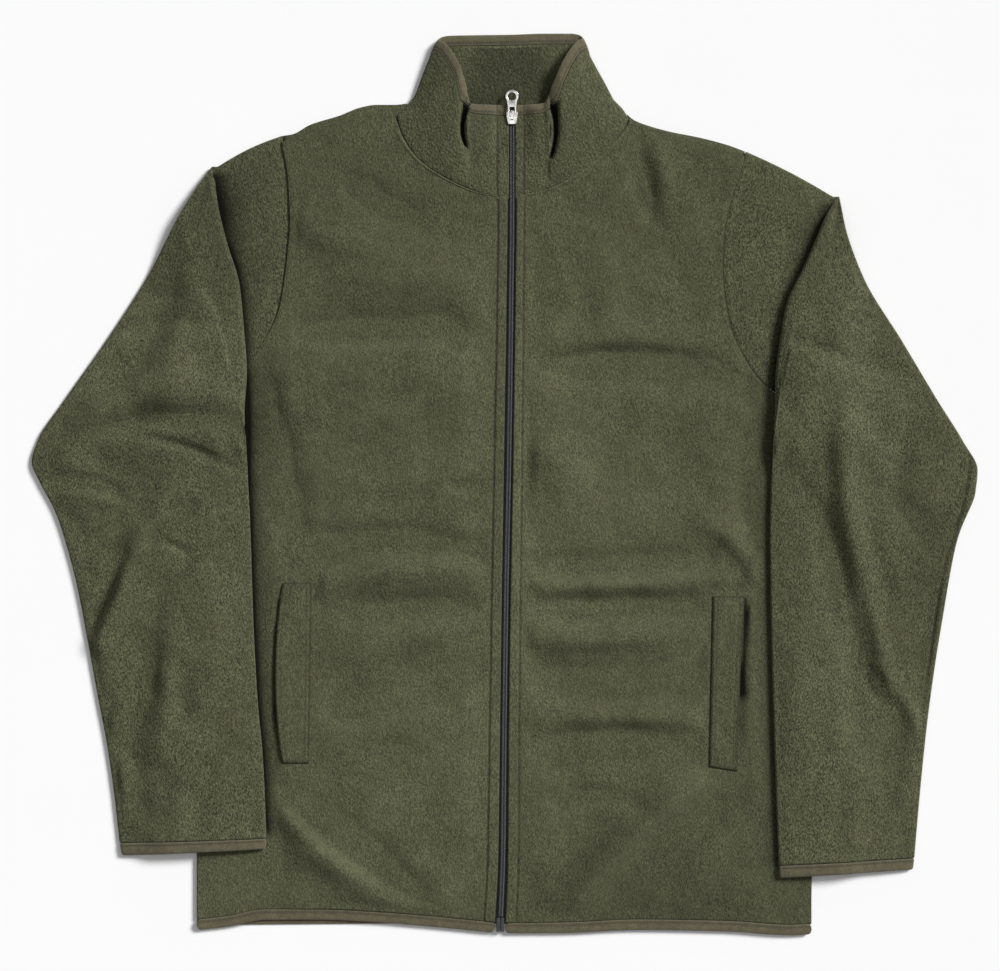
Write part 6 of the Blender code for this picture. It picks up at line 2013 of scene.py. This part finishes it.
class JacketTrim(bpy.types.PropertyGroup):
    """Sizes and looks of bindings, threads and metal."""

    step: FloatProperty(name="Step", description="Mesh step of the bindings, mm", default=2.4, min=0.5)
    pucker: FloatProperty(name="Pucker", description="Height of the bindings' puckers, mm", default=0.16)
    stitch: FloatProperty(name="Stitch", description="Length of a stitch, mm", default=2.3, min=0.5)
    stitch_pitch: FloatProperty(name="Stitch pitch", description="Distance between stitches, mm", default=3.1)
    shine: FloatProperty(
        name="Shine", description="Roughness of the plated metal", default=0.2, min=0.0, max=1.0)
    binding_colour: FloatVectorProperty(
        name="Binding colour", description="Colour of the bindings", subtype="COLOR",
        default=(0.112, 0.098, 0.058))
    thread_colour: FloatVectorProperty(
        name="Thread colour", description="Colour of the sewing thread", subtype="COLOR",
        default=(0.045, 0.045, 0.026))


class JacketStudio(bpy.types.PropertyGroup):
    """Camera, lamps and floor."""

    height: FloatProperty(
        name="Camera height", description="Height above the floor", default=3.0, unit="LENGTH")
    lens: FloatProperty(name="Lens", description="Focal length, mm", default=120.0)
    centre_x: FloatProperty(
        name="Centre X", description="Point under the camera", default=-0.0045, unit="LENGTH")
    centre_y: FloatProperty(
        name="Centre Y", description="Point under the camera", default=-0.00225, unit="LENGTH")
    key: FloatProperty(name="Key light", description="Strength of the key light", default=4.3)
    fill: FloatProperty(name="Fill light", description="Power of the overhead light, watts", default=17.0)
    sky: FloatProperty(name="Sky", description="Strength of the surroundings", default=0.2)
    floor: FloatProperty(name="Floor", description="Brightness of the floor", default=0.9, min=0.0, max=1.0)


def put(name, mesh, material, body="jacket"):
    """The named piece in the scene, with its material and the body that it rides on."""
    piece = bpy.data.objects.new(name, mesh)
    bpy.context.scene.collection.objects.link(piece)
    mesh.materials.clear()
    mesh.materials.append(material)
    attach(piece, body)
    return piece


def put_stitches(name, lines, trim):
    """A run of stitches as a piece of its own."""
    mesh = stitch_mesh(name, lines, trim.stitch, trim.stitch_pitch)
    return put(name, mesh, thread(name, tuple(trim.thread_colour)))


class JACKET_OT_body(bpy.types.Operator):
    """Dress the back and both fronts"""

    bl_idname = "jacket.body"
    bl_label = "Back and fronts"

    def execute(self, context):
        cloth, trim = context.scene.jacket_cloth, context.scene.jacket_trim
        back = put("back_cloth", back_mesh("back_cloth", cloth), fleece("back_fleece", cloth))
        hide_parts("back_panel")
        for side in OUTWARD:
            name = f"front_{side}_cloth"
            front = put(name, front_mesh(name, side, cloth), fleece(f"front_{side}_fleece", cloth))
            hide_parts(f"front_{side}")
            stitches = put_stitches(f"zip_stitches_{side}", [zip_stitches(side)], trim)
        return {"FINISHED"}


class JACKET_OT_sleeves(bpy.types.Operator):
    """Dress both sleeves and their cuffs"""

    bl_idname = "jacket.sleeves"
    bl_label = "Sleeves and cuffs"

    def execute(self, context):
        cloth, trim = context.scene.jacket_cloth, context.scene.jacket_trim
        for side, angle in NAP_ANGLE.items():
            name = f"sleeve_{side}_cloth"
            material = fleece(f"{name}_fleece", cloth, angle, contrast=SLEEVE_CONTRAST)
            sleeve = put(name, sleeve_mesh(name, side, cloth), material)
            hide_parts(f"sleeve_{side}")
            name = f"cuff_band_{side}"
            mesh, lines = cuff_mesh(name, side, trim)
            cuff = put(name, mesh, knit(name, trim, angle))
            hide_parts(f"cuff_binding_{side}")
            stitches = put_stitches(f"cuff_stitches_{side}", lines, trim)
        return {"FINISHED"}


class JACKET_OT_collar(bpy.types.Operator):
    """Dress the stand collar and the binding on its edge"""

    bl_idname = "jacket.collar"
    bl_label = "Collar"

    def execute(self, context):
        cloth, trim = context.scene.jacket_cloth, context.scene.jacket_trim
        material = fleece("collar_fleece", cloth, pebbles=COLLAR_PEBBLES)
        collar = put("collar_cloth", collar_mesh("collar_cloth", cloth), material)
        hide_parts("collar")
        lines = [collar_stitches(side) for side in OUTWARD]
        stitches = put_stitches("collar_stitches", lines, trim)
        mesh, lines = collar_binding_mesh("collar_band", trim)
        band = put("collar_band", mesh, knit("collar_band", trim))
        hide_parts("collar_binding")
        stitches = put_stitches("collar_band_stitches", lines, trim)
        return {"FINISHED"}


class JACKET_OT_hem(bpy.types.Operator):
    """Bind the hem of the back and of both fronts"""

    bl_idname = "jacket.hem"
    bl_label = "Hem bindings"

    def execute(self, context):
        trim = context.scene.jacket_trim
        for part, path in hem_paths(trim.step).items():
            back = part == "back"
            low = 0.0 if back else FRONT_LOW
            thick = CLOTH if back else HEM_BINDING_THICK
            node = "hem_binding_back" if back else f"hem_binding_front_{part}"
            name = f"hem_band_{part}"
            profile = binding_profile(BINDING, low, low + thick)
            path = np.concatenate([path, np.zeros((len(path), 1))], axis=1)
            shapes = puckered(path, profile, low, HEM_PUCKERS, 0.4 * trim.pucker, len(part))
            from_seam = 0.5 * BINDING - profile[:, 0]
            # Painted shade in the stitch groove
            dent = np.broadcast_to(groove(from_seam, BINDING_STITCH, GROOVE_HALF), shapes.shape[:2])
            shapes[..., 1] -= 0.3 * dent * (shapes[..., 1] > low + 0.5 * thick)
            mesh = carried(name, path, shapes, STITCH_SHADE * dent)
            band = put(name, mesh, knit(name, trim))
            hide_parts(node)
            line = path + (0.0, 0.5 * BINDING - BINDING_STITCH, low + thick - 0.4)
            stitches = put_stitches(f"hem_stitches_{part}", [line], trim)
        return {"FINISHED"}


class JACKET_OT_pockets(bpy.types.Operator):
    """Lay the welts of both hand pockets on the fronts"""

    bl_idname = "jacket.pockets"
    bl_label = "Pocket welts"

    def execute(self, context):
        cloth, trim = context.scene.jacket_cloth, context.scene.jacket_trim
        for side in OUTWARD:
            name = f"welt_{side}"
            mesh, lines = welt_mesh(name, side)
            welt = put(name, mesh, fleece(f"{name}_fleece", cloth))
            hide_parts(f"pocket_welt_{side}")
            stitches = put_stitches(f"welt_stitches_{side}", lines, trim)
        return {"FINISHED"}


class JACKET_OT_zip(bpy.types.Operator):
    """Make the coil, the slider and the retainer, and weave the tapes"""

    bl_idname = "jacket.zip"
    bl_label = "Zip"

    def execute(self, context):
        trim = context.scene.jacket_trim
        for side in OUTWARD:
            name = f"coil_{side}"
            material = plastic(f"{name}_plastic", COIL_COLOUR, 0.35)
            coil = put(name, coil_teeth(name, side), material)
            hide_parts(f"zip_coil_{side}")
            name = f"coil_thread_{side}"
            put(name, coil_threads(name, side), thread(name, COIL_THREAD_COLOUR))
            tape = bpy.data.objects[f"zip_tape_{side}"]
            weave = tape_cloth(f"zip_tape_{side}_weave", TAPE_COLOUR, WEAVE_PITCH, rough=0.75)
            tape.material_slots[0].material = weave
        slider = put("slider", slider_mesh("slider"), plated("slider_metal", trim))
        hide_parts("zip_slider")
        material = plastic("retainer_plastic", BOX_COLOUR, 0.45)
        box = put("retainer", box_mesh("retainer"), material)
        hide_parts("zip_box")
        return {"FINISHED"}


class JACKET_OT_tab(bpy.types.Operator):
    """Make the pull tab, which swings on the slider's bridge"""

    bl_idname = "jacket.tab"
    bl_label = "Pull tab"

    def execute(self, context):
        trim = context.scene.jacket_trim
        tab = put("tab", tab_mesh("tab"), plated("tab_metal", trim), "pull_tab")
        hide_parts("zip_pull_tab")
        return {"FINISHED"}


class JACKET_OT_studio(bpy.types.Operator):
    """Lay the floor, set the lamps and put the camera above"""

    bl_idname = "jacket.studio"
    bl_label = "Studio"

    def execute(self, context):
        scene, studio = context.scene, context.scene.jacket_studio
        bpy.ops.mesh.primitive_plane_add(size=FLOOR_SIZE)
        floor = context.object
        floor.name = "floor"
        floor.data.materials.append(paper("floor_paper", studio.floor))

        world = bpy.data.worlds.new("surroundings")
        world.use_nodes = True
        sky = world.node_tree.nodes["Background"]
        sky.inputs["Color"].default_value = (1.0, 1.0, 1.0, 1.0)
        sky.inputs["Strength"].default_value = studio.sky
        scene.world = world

        key = bpy.data.lights.new("key_lamp", "SUN")
        key.energy = studio.key
        key.angle = math.radians(KEY_SPREAD)
        held = bpy.data.objects.new("key_lamp", key)
        aim = np.array(KEY_AIM) / np.linalg.norm(KEY_AIM)
        held.location = 3.0 * aim
        held.rotation_euler = (math.acos(aim[2]), 0.0, math.atan2(aim[1], aim[0]) + 0.5 * math.pi)
        scene.collection.objects.link(held)

        fill = bpy.data.lights.new("fill_lamp", "AREA")
        fill.energy = studio.fill
        fill.size = FILL_SIZE
        held = bpy.data.objects.new("fill_lamp", fill)
        held.location = FILL_PLACE
        scene.collection.objects.link(held)

        lens = bpy.data.cameras.new("camera")
        lens.sensor_width = 36.0
        lens.lens = studio.lens
        lens.clip_end = 30.0
        camera = bpy.data.objects.new("camera", lens)
        camera.location = (studio.centre_x, studio.centre_y, studio.height)
        scene.collection.objects.link(camera)
        scene.camera = camera
        scene.view_settings.view_transform = "Standard"
        scene.view_settings.look = "None"
        return {"FINISHED"}


class JACKET_PT_panel(bpy.types.Panel):
    """Lists the steps in order"""

    bl_idname = "JACKET_PT_panel"
    bl_label = "Fleece jacket"
    bl_space_type = "VIEW_3D"
    bl_region_type = "UI"
    bl_category = "Jacket"

    def draw(self, context):
        for step in STEPS:
            self.layout.operator(step.bl_idname)


GROUPS = {"jacket_cloth": JacketCloth, "jacket_trim": JacketTrim, "jacket_studio": JacketStudio}
STEPS = (
    JACKET_OT_body, JACKET_OT_sleeves, JACKET_OT_collar, JACKET_OT_hem, JACKET_OT_pockets, JACKET_OT_zip,
    JACKET_OT_tab, JACKET_OT_studio,
)


def register():
    for kind in (*GROUPS.values(), *STEPS, JACKET_PT_panel):
        bpy.utils.register_class(kind)
    for name, kind in GROUPS.items():
        setattr(bpy.types.Scene, name, PointerProperty(type=kind))


def unregister():
    for name in GROUPS:
        delattr(bpy.types.Scene, name)
    for kind in (JACKET_PT_panel, *reversed(STEPS), *GROUPS.values()):
        bpy.utils.unregister_class(kind)


def main():
    register()
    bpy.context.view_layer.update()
    bpy.ops.jacket.body()
    bpy.ops.jacket.sleeves()
    bpy.ops.jacket.collar()
    bpy.ops.jacket.hem()
    bpy.ops.jacket.pockets()
    bpy.ops.jacket.zip()
    bpy.ops.jacket.tab()
    bpy.ops.jacket.studio()


if __name__ == "__main__":
    main()
